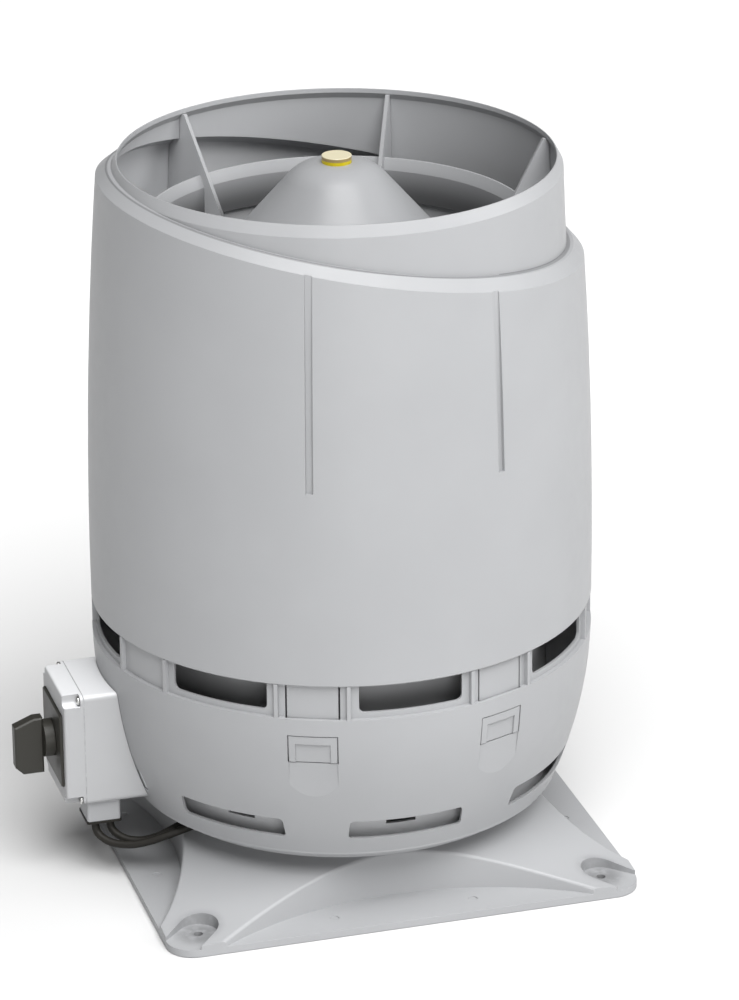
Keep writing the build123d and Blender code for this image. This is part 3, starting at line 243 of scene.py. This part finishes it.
class Finish:
    """A material in the making: its node tree, its surface shader and one way to add nodes."""

    def __init__(self, name, **constants):
        self.material = bpy.data.materials.new(name)
        self.material.use_nodes = True
        self.tree = self.material.node_tree
        self.surface = self.tree.nodes["Principled BSDF"]
        self.paint(**constants)

    def node(self, kind, settings=None, inputs=None, output=0):
        made = self.tree.nodes.new(kind)
        for key, value in (settings or {}).items():
            setattr(made, key, value)
        for key, value in (inputs or {}).items():
            self.feed(made.inputs[key], value)
        return Wire(self, made.outputs[output])

    def feed(self, socket, value):
        if isinstance(value, Wire):
            self.tree.links.new(value.socket, socket)
        else:
            socket.default_value = value

    def paint(self, **values):
        """Feeds the surface shader's sockets, named with _ for a space."""
        for label, value in values.items():
            self.feed(self.surface.inputs[label.replace("_", " ")], value)
        return self.material

    def place(self):
        return self.node("ShaderNodeTexCoord", output="Object")

    def split(self, vector):
        """The x, y and z of a vector."""
        first = self.node("ShaderNodeSeparateXYZ", None, {"Vector": vector})
        return [Wire(self, socket) for socket in first.socket.node.outputs]

    def axes(self):
        """The x, y and z of the surface point, in metres."""
        return self.split(self.place())

    def facing(self):
        """The x, y and z of the surface's normal."""
        return self.split(self.node("ShaderNodeNewGeometry", output="Normal"))

    def noise(self, scale, detail):
        inputs = {"Vector": self.place(), "Scale": scale, "Detail": detail}
        return self.node("ShaderNodeTexNoise", None, inputs)

    def mix(self, factor, first, second):
        """Colour between first and second."""
        inputs = {"Factor": factor, 6: first, 7: second}
        return self.node("ShaderNodeMix", {"data_type": "RGBA"}, inputs, 2)

    def bump(self, height, strength, distance, edge=0.0):
        """Normal of a fine relief, with the piece's edges rounded over by the edge radius."""
        inputs = {"Height": height, "Strength": strength, "Distance": distance}
        if edge:
            inputs["Normal"] = self.node("ShaderNodeBevel", {"samples": 4}, {"Radius": edge})
        return self.node("ShaderNodeBump", None, inputs)


def shade(color, amount=1.0):
    """A colour scaled in brightness, as RGBA."""
    return tuple(channel * amount for channel in color[:3]) + (1.0,)


def moulded_plastic(name, color, roughness, grain, edge=0.0):
    """Satin moulded plastic: fine spark-eroded grain, faint flow tint and uneven gloss."""
    finish = Finish(name, Specular_IOR_Level=0.3)
    flow = finish.noise(FLOW_SCALE, detail=3.0)
    patches = finish.noise(PATCH_SCALE, detail=2.0)
    tint = finish.mix(flow.between(0.3, 0.7), shade(color, 0.975), shade(color, 1.02))
    normal = finish.bump(finish.noise(GRAIN_SCALE, detail=2.0), grain, GRAIN_DEPTH, edge)
    gloss = patches * GLOSS_SPREAD + (roughness - GLOSS_SPREAD / 2)
    finish.paint(Base_Color=tint, Roughness=gloss, Normal=normal)
    return finish, tint


def grey_plastic(name, props):
    """The plastic that the base, housing, jacket and diffuser share."""
    return moulded_plastic(name, props.housing_color, props.housing_roughness, PLAIN_GRAIN, EDGE_R)


def housing_plastic(props):
    """Grey plastic of the mouldings, painted lighter on its inner faces as painted light, with a painted shade
    line along the seam where the ring stands.
    """
    finish, tint = grey_plastic("housing_plastic", props)
    x, y, z = finish.axes()
    radius = (x * x + y * y).root()
    height = abs(z + x * SHOULDER_SLOPE - SHOULDER_Z)
    # Painted shade: a dark line along the seam where the ring stands on the shoulder's bevel
    seam = (1 - height.between(SEAM_CORE, SEAM_EDGE)) * (radius > RING_IN_R) * (radius < RING_OUT_R)
    across, ahead, _ = finish.facing()
    inside = ((across * x + ahead * y) / radius < INNER_FACING) * (z > RING_LOW_Z)
    # Painted light: the inner faces of the ring and the barrel are painted lighter than the plastic, as light
    # in the cavity
    ring_inside_lit = shade(props.housing_color, 1.3)
    barrel_inside_lit = shade(props.housing_color, 1.7)
    seam_shade = shade(props.housing_color, 0.2)
    inner = finish.mix(radius > RING_IN_R, ring_inside_lit, barrel_inside_lit)
    outer = finish.mix(seam * SEAM_SHADE_STRENGTH, tint, seam_shade)
    return finish.paint(Base_Color=finish.mix(inside, outer, inner))


def base_plastic(props):
    """The same plastic on the roof base, painted darker in a noisy patch in and around each corner pocket."""
    finish, tint = grey_plastic("base_plastic", props)
    x, y, _ = finish.axes()
    side = abs(x) - BOLT_HALF
    ahead = abs(y) - BOLT_HALF
    distance = (side * side + ahead * ahead).root()
    # Darker in a noisy patch in and around each corner pocket
    pocket = 1 - distance.between(POCKET_R - POCKET_DARK_INSIDE, POCKET_R + POCKET_DARK_OUTSIDE)
    pocket_dark = pocket * finish.noise(90.0, detail=3.0).between(0.1, 0.6)
    return finish.paint(Base_Color=finish.mix(pocket_dark, tint, shade(props.housing_color, 0.6)))


def diffuser_plastic(props):
    """The same plastic in the air path, painted darker below the diffuser's lip as painted shade and painted
    lighter on its vanes' sides as painted light.
    """
    finish, tint = grey_plastic("diffuser_plastic", props)
    x, y, z = finish.axes()
    radius = (x * x + y * y).root()
    across, ahead, _ = finish.facing()
    # Painted shade: darker deeper into the duct below the diffuser's lip
    depth_shade = (1 - z.between(LIP_Z - SHADE_DEPTH, LIP_Z)) * (radius < LIP_R)
    vane = abs(across * y - ahead * x) / radius > VANE_FACING
    wall = finish.mix(depth_shade, tint, shade(props.housing_color, 0.25))
    # Painted light: the vanes' sides are painted lighter than the wall behind them
    return finish.paint(Base_Color=finish.mix(vane, wall, shade(props.housing_color, 1.5)))


def casing_plastic(props):
    """Plain grey of the inner casing, painted lighter at its foot behind the drain slots as painted light."""
    finish, tint = moulded_plastic("casing_plastic", props.casing_color, 0.5, COARSE_GRAIN)
    height = finish.axes()[2]
    # Painted light: the casing's foot, seen through the drain slots, is painted lighter
    lit_foot = 1 - height.between(SLOT_HIGH_Z, SLOT_HIGH_Z + LIT_FOOT_RISE)
    return finish.paint(Base_Color=finish.mix(lit_foot, tint, shade(props.casing_color, 1.8)))


def box_plastic(props):
    """Light grey plastic of the isolator box, painted lighter on its upward faces as painted light from above.
    """
    finish, tint = moulded_plastic("box_plastic", props.box_color, 0.45, PLAIN_GRAIN, EDGE_R)
    # Painted light: upward faces are painted lighter, as if lit from above
    upward = finish.facing()[2]
    return finish.paint(Base_Color=finish.mix(upward.between(0.3, 0.95), tint, shade(props.box_color, 1.85)))


def zinc_steel():
    """Zinc-plated steel with turning marks and patchy plating."""
    finish = Finish("zinc_steel", Metallic=1.0)
    plating = finish.noise(900.0, detail=3.0)
    color = finish.mix(plating, (0.46, 0.46, 0.45, 1.0), (0.66, 0.66, 0.64, 1.0))
    marks = finish.bump(finish.noise(3000.0, detail=2.0), strength=0.15, distance=0.2 * MM)
    return finish.paint(Base_Color=color, Roughness=plating * 0.2 + 0.22, Normal=marks)


def cast_metal():
    """Cast aluminium of the motor, sandy and dull."""
    finish = Finish("cast_metal", Metallic=0.9)
    sand = finish.noise(1400.0, detail=4.0)
    color = finish.mix(sand, (0.36, 0.36, 0.37, 1.0), (0.52, 0.52, 0.53, 1.0))
    skin = finish.bump(sand, strength=0.3, distance=0.3 * MM)
    return finish.paint(Base_Color=color, Roughness=sand * 0.2 + 0.4, Normal=skin)


def matt_rubber(name, color):
    """Rubber with a dusty bloom."""
    finish = Finish(name, Specular_IOR_Level=0.25)
    bloom = finish.noise(180.0, detail=4.0)
    tint = finish.mix(bloom.between(0.35, 0.75), color, shade(color, 1.4))
    grain = finish.bump(finish.noise(2400.0, detail=2.0), strength=0.2, distance=0.3 * MM)
    return finish.paint(Base_Color=tint, Roughness=bloom * 0.15 + 0.5, Normal=grain)


def level_clear(props):
    """Clear body of the bullseye level: a pale cap and an amber band, a painted dark reflection, over the
    yellow in its wall, glowing a little as painted light.
    """
    # Painted light: the body glows faintly in its own colour
    finish = Finish("level_clear", Transmission_Weight=0.3, IOR=1.49, Emission_Strength=0.1)
    cloud = finish.noise(160.0, detail=2.0)
    height = finish.axes()[2]
    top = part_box("level_body")[1][2]
    # Painted reflection: an amber band under the cap stands in for the wall's dark reflection
    rim = height.between(top - AMBER_START, top - AMBER_FULL)
    cap = height.between(top - CAP_START, top - CAP_FULL)
    wall = finish.mix(cloud, shade(props.liquid_color, 0.9), shade(props.liquid_color, 1.05))
    amber = finish.mix(rim, wall, shade(props.amber_reflection_color))
    color = finish.mix(cap, amber, shade(props.level_color))
    return finish.paint(Base_Color=color, Roughness=cloud * 0.1 + 0.06, Emission_Color=color)


def level_liquid(props):
    """Bright yellow liquid, a little cloudy, glowing a little as painted light."""
    # Painted light: the liquid glows faintly in its own colour
    finish = Finish("level_liquid", Specular_IOR_Level=0.5, Emission_Strength=0.15)
    cloud = finish.noise(240.0, detail=2.0)
    color = finish.mix(cloud, shade(props.liquid_color, 0.9), shade(props.liquid_color, 1.08))
    return finish.paint(Base_Color=color, Roughness=cloud * 0.1 + 0.2, Emission_Color=color)


def floor_paint(props):
    """Pale studio floor, faintly uneven, that glows away from the fan as a lit backdrop does."""
    finish = Finish("studio_floor", Specular_IOR_Level=0.1, Roughness=0.9, Emission_Strength=1.0)
    tone = finish.noise(0.8, detail=2.0)
    color = finish.mix(tone, shade(props.floor_color, 0.99), shade(props.floor_color))
    x, y, _ = finish.axes()
    far = (x * x + y * y).root().between(GLOW_NEAR, GLOW_FAR)
    glow = finish.mix(far, shade((0.0, 0.0, 0.0)), shade((1.0, 1.0, 1.0), props.floor_glow))
    return finish.paint(Base_Color=color, Emission_Color=glow)


def give(material, *names):
    """Puts one finish on the named nodes of the frame."""
    for name in names:
        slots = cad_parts[name].data.materials
        slots.clear()
        slots.append(material)


def color_prop(name, description, default):
    return bpy.props.FloatVectorProperty(
        name=name, description=description, subtype="COLOR", size=3, min=0.0, max=1.0, default=default
    )


class RoofFanSettings(bpy.types.PropertyGroup):
    housing_color: color_prop("Housing", "Colour of the grey mouldings", (0.30, 0.304, 0.312))
    housing_roughness: bpy.props.FloatProperty(
        name="Housing roughness", description="Gloss of the mouldings", subtype="FACTOR",
        min=0.0, max=1.0, default=0.42,
    )
    box_color: color_prop("Isolator", "Colour of the isolator box", (0.352, 0.355, 0.362))
    casing_color: color_prop("Casing", "Colour of the inner casing and inlet cone", (0.30, 0.303, 0.31))
    cover_color: color_prop("Motor cover", "Colour of the motor cover", (0.27, 0.274, 0.282))
    dark_color: color_prop("Switch", "Colour of the handle, plate and impeller", (0.026, 0.025, 0.021))
    cable_color: color_prop("Cable", "Colour of the cable jackets and rubber", (0.010, 0.009, 0.007))
    level_color: color_prop("Level", "Colour of the level's clear cap", (0.70, 0.65, 0.47))
    # Painted reflection: the amber band that stands in for the level wall's dark reflection
    amber_reflection_color: color_prop("Amber", "Colour of the level's rim", (0.36, 0.28, 0.13))
    liquid_color: color_prop("Liquid", "Colour of the level's liquid", (0.62, 0.50, 0.0))
    floor_color: color_prop("Floor", "Colour of the studio floor", (0.57, 0.57, 0.57))
    floor_glow: bpy.props.FloatProperty(
        name="Floor glow", description="Light that the far floor adds, as a lit backdrop does",
        min=0.0, max=2.0, default=0.16,
    )
    cable_diameter: bpy.props.FloatProperty(
        name="Cable diameter", description="Outside of the cable jackets", subtype="DISTANCE",
        min=0.004, default=0.008,
    )
    recess_depth: bpy.props.FloatProperty(
        name="Recess depth", description="Depth of the screws' cross recess", subtype="DISTANCE",
        min=0.0, default=0.0016,
    )


def deselect():
    if bpy.context.mode != "OBJECT":
        bpy.ops.object.mode_set(mode="OBJECT")
    bpy.ops.object.select_all(action="DESELECT")


def keep_only(*pieces):
    """Selects these pieces alone and makes the first one active."""
    deselect()
    for piece in pieces:
        piece.select_set(True)
    bpy.context.view_layer.objects.active = pieces[0]


def put_in_scene(name, data):
    """A new object at the origin, its place in its mesh or curve."""
    piece = bpy.data.objects.new(name, data)
    bpy.context.scene.collection.objects.link(piece)
    return piece


class FAN_OT_mouldings(bpy.types.Operator):
    """Gives the housing, jacket, latches, cable entry, base, diffuser, casing and cover their grey plastics"""

    bl_idname = "roof_fan.mouldings"
    bl_label = "Grey mouldings"

    def execute(self, context):
        props = context.scene.roof_fan
        give(housing_plastic(props), *HOUSING_NODES)
        give(base_plastic(props), "base_flange")
        give(diffuser_plastic(props), "diffuser")
        give(casing_plastic(props), "fan_casing", "inlet_cone")
        cover, _ = moulded_plastic("cover_plastic", props.cover_color, 0.38, SMOOTH_GRAIN)
        give(cover.material, "motor_cover")
        return {"FINISHED"}


class FAN_OT_jacket(bpy.types.Operator):
    """Copies the jacket and lowers the thin tips of its groove ribs to the shoulder's bevel"""

    bl_idname = "roof_fan.jacket"
    bl_label = "Jacket"

    def execute(self, context):
        piece = put_in_scene("jacket_moulding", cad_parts["jacket"].data.copy())
        keep_only(piece)
        bpy.ops.mesh.customdata_custom_splitnormals_clear()
        self.merge()
        for angle in GROOVE_ANGLES:
            for side in (-1, 1):
                self.trim(piece.data.vertices, radians(angle), side)
        self.merge()
        bpy.ops.object.shade_smooth_by_angle(angle=JACKET_SHARP_ANGLE)
        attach(piece, "housing")
        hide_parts("jacket")
        return {"FINISHED"}

    def merge(self):
        """Joins points that lie on each other and drops faces without area."""
        bpy.ops.object.mode_set(mode="EDIT")
        bpy.ops.mesh.select_all(action="SELECT")
        bpy.ops.mesh.remove_doubles(threshold=SAME_POINT)
        bpy.ops.mesh.dissolve_degenerate(threshold=SAME_POINT)
        bpy.ops.object.mode_set(mode="OBJECT")

    def trim(self, points, angle, side):
        """Moves the tip at one corner of a rib to the highest point below it."""
        outward = Vector((sin(angle), -cos(angle), 0))
        sideward = Vector((cos(angle), sin(angle), 0)) * side
        wall = [point for point in points if point.co.dot(outward) > OUTER_WALL_R]
        corner = [point for point in wall if abs(point.co.dot(sideward) - RIB_HALF_W) < SAME_CORNER]
        tip_z = max(point.co.z for point in corner) - SAME_CORNER
        tip = [point for point in corner if point.co.z > tip_z]
        seat = max((point.co.copy() for point in corner if point.co.z < tip_z), key=lambda spot: spot.z)
        for point in tip:
            point.co = seat


class FAN_OT_blank(bpy.types.Operator):
    """Models the plain panel that closes the drain slot behind the isolator"""

    bl_idname = "roof_fan.blank"
    bl_label = "Slot blank"

    def execute(self, context):
        deselect()
        bpy.ops.mesh.primitive_grid_add(x_subdivisions=BLANK_COLUMNS, y_subdivisions=BLANK_ROWS, size=1)
        blank = bpy.context.active_object
        blank.name = "slot_blank"
        self.lay_on_bowl(blank.data.vertices)
        bpy.ops.object.mode_set(mode="EDIT")
        bpy.ops.mesh.select_all(action="SELECT")
        bpy.ops.mesh.flip_normals()
        bpy.ops.object.mode_set(mode="OBJECT")
        wall = blank.modifiers.new("wall", "SOLIDIFY")
        wall.thickness = BLANK_WALL
        bpy.ops.object.modifier_apply(modifier="wall")
        bpy.ops.object.shade_smooth_by_angle(angle=SHARP_ANGLE)
        blank.data.materials.append(bpy.data.materials["housing_plastic"])
        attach(blank, "housing")
        return {"FINISHED"}

    def lay_on_bowl(self, points):
        """Moves a unit grid's points onto the bowl's curve at -X, its x along the slot and its y upwards."""
        low_z = SLOT_LOW_Z - BLANK_LAP
        rise = SLOT_HIGH_Z + BLANK_LAP - low_z
        whole_turn = 2 * radians(SLOT_HALF_ANGLE + BLANK_LAP_ANGLE)
        curve_r = BOWL_CURVE_R - BLANK_INSET
        for point in points:
            turn = whole_turn * point.co.x
            height = low_z + rise * (point.co.y + 0.5)
            reach = (curve_r ** 2 - (height - BOWL_CENTRE_Z) ** 2) ** 0.5 + BOWL_CENTRE_R
            point.co = (-reach * cos(turn), reach * sin(turn), height)


class FAN_OT_motor(bpy.types.Operator):
    """Gives the motor, the screws and the impeller their metals and dark plastic"""

    bl_idname = "roof_fan.motor"
    bl_label = "Motor and impeller"

    def execute(self, context):
        give(zinc_steel(), *STEEL_NODES)
        give(cast_metal(), "motor_rotor", "motor_stator", "motor_plate")
        dark_color = context.scene.roof_fan.dark_color
        blades, _ = moulded_plastic("impeller_plastic", dark_color, 0.45, PLAIN_GRAIN)
        give(blades.material, "impeller")
        return {"FINISHED"}


class FAN_OT_switch(bpy.types.Operator):
    """Gives the isolator's box, handle, plate and rubber pieces their finishes"""

    bl_idname = "roof_fan.switch"
    bl_label = "Isolator switch"

    def execute(self, context):
        props = context.scene.roof_fan
        give(box_plastic(props), "isolator_base", "isolator_lid")
        handle, _ = moulded_plastic("handle_plastic", props.dark_color, 0.42, COARSE_GRAIN, EDGE_R)
        give(handle.material, "isolator_handle", "isolator_escutcheon", "isolator_switch")
        give(matt_rubber("seal_rubber", shade(props.cable_color)), "cable_entry_pad", "collar_gland")
        give(matt_rubber("gasket_rubber", shade(props.box_color, 0.8)), "isolator_gasket")
        return {"FINISHED"}


class FAN_OT_level(bpy.types.Operator):
    """Gives the bullseye level its clear body and yellow liquid"""

    bl_idname = "roof_fan.level"
    bl_label = "Bullseye level"

    def execute(self, context):
        props = context.scene.roof_fan
        give(level_clear(props), "level_body")
        give(level_liquid(props), "level_liquid")
        return {"FINISHED"}


class FAN_OT_cables(bpy.types.Operator):
    """Lays the two cables from the isolator to the collar as smooth tubes"""

    bl_idname = "roof_fan.cables"
    bl_label = "Cables"

    def execute(self, context):
        props = context.scene.roof_fan
        jacket = matt_rubber("cable_jacket", shade(props.cable_color))
        for node, route in (("supply_cable", SUPPLY_ROUTE), ("motor_cable", MOTOR_ROUTE)):
            self.lay(node, route, props.cable_diameter, jacket)
        return {"FINISHED"}

    def lay(self, node, route, diameter, jacket):
        curve = bpy.data.curves.new(node + "_line", "CURVE")
        curve.dimensions = "3D"
        curve.bevel_depth = diameter / 2
        curve.bevel_resolution = 6
        curve.resolution_u = 10
        curve.use_fill_caps = True
        curve.materials.append(jacket)
        spline = curve.splines.new("NURBS")
        spline.points.add(len(route) - 1)
        for point, spot in zip(spline.points, route):
            point.co = (*spot, 1.0)
        spline.order_u = 3
        spline.use_endpoint_u = True
        piece = put_in_scene(node + "_jacket", curve)
        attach(piece, "housing")
        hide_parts(node)


class FAN_OT_lid_screws(bpy.types.Operator):
    """Models the cross-recessed pan-head screws in the corners of the isolator's lid"""

    bl_idname = "roof_fan.lid_screws"
    bl_label = "Lid screws"

    def execute(self, context):
        low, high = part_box("isolator_lid_screws")
        seat_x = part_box("isolator_lid")[1][0] - LID_SEAT
        recess_depth = context.scene.roof_fan.recess_depth
        first = self.pan_head(seat_x - low[0], high[0] - seat_x, recess_depth)
        screws = [first] + [put_in_scene("lid_screw", first.data.copy()) for _ in range(3)]
        rows = (low[1] + HEAD_R, high[1] - HEAD_R)
        levels = (low[2] + HEAD_R, high[2] - HEAD_R)
        spots = [(seat_x, y, z) for y in rows for z in levels]
        for index, (screw, spot) in enumerate(zip(screws, spots)):
            turn = Matrix.Rotation(radians(SCREW_TURN * index), 4, "X")
            screw.data.transform(Matrix.Translation(spot) @ turn)
        keep_only(*screws)
        bpy.ops.object.join()
        first.name = "lid_screws"
        first.data.materials.append(bpy.data.materials["zinc_steel"])
        bpy.ops.object.shade_smooth_by_angle(angle=SHARP_ANGLE)
        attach(first, "housing")
        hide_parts("isolator_lid_screws")
        return {"FINISHED"}

    def pan_head(self, height, reach, recess_depth):
        """A rounded head with a cross recess and its shank, its seat at x 0 and its top towards -X."""
        head = self.cylinder(40, HEAD_R, height, height / 2)
        crown = head.modifiers.new("crown", "BEVEL")
        crown.width = height * CROWN_SHARE
        crown.segments = 4
        crown.limit_method = "ANGLE"
        bpy.ops.object.modifier_apply(modifier="crown")
        for turn in (0, 90):
            self.cut_slot(head, height, recess_depth, radians(turn))
        shank = self.cylinder(24, HEAD_R * SHANK_SHARE, reach, -reach / 2)
        keep_only(head, shank)
        bpy.ops.object.join()
        head.data.transform(Matrix.Rotation(radians(-90), 4, "Y"))
        return head

    def cylinder(self, sides, radius, depth, middle_z):
        deselect()
        bpy.ops.mesh.primitive_cylinder_add(
            vertices=sides, radius=radius, depth=depth, location=(0, 0, middle_z)
        )
        bpy.ops.object.transform_apply(location=True, rotation=True, scale=True)
        return bpy.context.active_object

    def cut_slot(self, head, height, depth, turn):
        """Cuts one bar of the cross recess into the head's top."""
        deselect()
        bpy.ops.mesh.primitive_cube_add(size=1, location=(0, 0, height))
        cutter = bpy.context.active_object
        cutter.dimensions = (HEAD_R * RECESS_LENGTH_SHARE, HEAD_R * RECESS_WIDTH_SHARE, depth * 2)
        cutter.rotation_euler = (0, 0, turn)
        bpy.ops.object.transform_apply(location=True, rotation=True, scale=True)
        keep_only(head)
        cut = head.modifiers.new("recess", "BOOLEAN")
        cut.object = cutter
        cut.operation = "DIFFERENCE"
        cut.solver = "EXACT"
        bpy.ops.object.modifier_apply(modifier="recess")
        bpy.data.objects.remove(cutter)


class FAN_OT_stage(bpy.types.Operator):
    """Sets the pale floor, soft studio lights, background and camera"""

    bl_idname = "roof_fan.stage"
    bl_label = "Studio"

    def execute(self, context):
        self.floor(context.scene.roof_fan)
        self.background(context.scene)
        for name, spot, power in LAMPS:
            lamp = self.light("AREA", name, spot, LAMP_AIM - Vector(spot), power)
            lamp.size = LAMP_W
        # A sun lights the whole floor alike, and its spread softens the shadow
        sky = self.light("SUN", "top", (0, 0, 0), -SKY_PLACE, SKY_STRENGTH)
        sky.angle = radians(SKY_SPREAD)
        self.camera(context.scene)
        return {"FINISHED"}

    def floor(self, props):
        deselect()
        bpy.ops.mesh.primitive_plane_add(size=FLOOR_SIDE, location=(0, 0, -FLOOR_DROP))
        plane = bpy.context.active_object
        plane.name = "studio_floor"
        plane.data.materials.append(floor_paint(props))

    def background(self, scene):
        world = bpy.data.worlds.new("studio")
        world.use_nodes = True
        backdrop = world.node_tree.nodes["Background"]
        backdrop.inputs["Color"].default_value = (1, 1, 1, 1)
        backdrop.inputs["Strength"].default_value = WORLD_STRENGTH
        scene.world = world
        scene.view_settings.view_transform = "Standard"

    def light(self, kind, name, spot, direction, energy):
        """Adds a lamp that shines along the direction."""
        deselect()
        bpy.ops.object.light_add(type=kind, location=spot)
        lamp = bpy.context.active_object
        lamp.name = name
        lamp.data.energy = energy
        lamp.rotation_euler = direction.to_track_quat("-Z", "Y").to_euler()
        return lamp.data

    def camera(self, scene):
        turn = radians(AZIMUTH)
        lift = radians(ELEVATION)
        lean = radians(ROLL)
        back = Vector((sin(turn) * cos(lift), -cos(turn) * cos(lift), sin(lift)))
        right = Vector((cos(turn), sin(turn), 0))
        up = back.cross(right)
        right_leant = right * cos(lean) + up * sin(lean)
        up_leant = up * cos(lean) - right * sin(lean)
        pose = Matrix((right_leant, up_leant, back)).transposed().to_4x4()
        pose.translation = right * TARGET_RIGHT + Vector((0, 0, TARGET_HEIGHT)) + back * DISTANCE
        deselect()
        bpy.ops.object.camera_add()
        camera = bpy.context.active_object
        camera.data.sensor_fit = "HORIZONTAL"
        camera.data.sensor_width = SENSOR_W
        camera.data.lens = SENSOR_W * FOCAL_PX / IMAGE_W
        camera.matrix_world = pose
        scene.camera = camera


class FAN_PT_panel(bpy.types.Panel):
    bl_idname = "FAN_PT_panel"
    bl_label = "Roof fan"
    bl_space_type = "VIEW_3D"
    bl_region_type = "UI"
    bl_category = "Roof fan"

    def draw(self, context):
        for key in RoofFanSettings.__annotations__:
            self.layout.prop(context.scene.roof_fan, key)
        for operator in OPERATORS:
            self.layout.operator(operator.bl_idname)


OPERATORS = (
    FAN_OT_mouldings, FAN_OT_jacket, FAN_OT_blank, FAN_OT_motor, FAN_OT_switch,
    FAN_OT_level, FAN_OT_cables, FAN_OT_lid_screws, FAN_OT_stage,
)
CLASSES = (RoofFanSettings, *OPERATORS, FAN_PT_panel)


def register():
    for kind in CLASSES:
        bpy.utils.register_class(kind)
    bpy.types.Scene.roof_fan = bpy.props.PointerProperty(type=RoofFanSettings)


def unregister():
    del bpy.types.Scene.roof_fan
    for kind in reversed(CLASSES):
        bpy.utils.unregister_class(kind)


def main():
    register()
    bpy.ops.roof_fan.mouldings()
    bpy.ops.roof_fan.jacket()
    bpy.ops.roof_fan.blank()
    bpy.ops.roof_fan.motor()
    bpy.ops.roof_fan.switch()
    bpy.ops.roof_fan.level()
    bpy.ops.roof_fan.cables()
    bpy.ops.roof_fan.lid_screws()
    bpy.ops.roof_fan.stage()


if __name__ == "__main__":
    main()
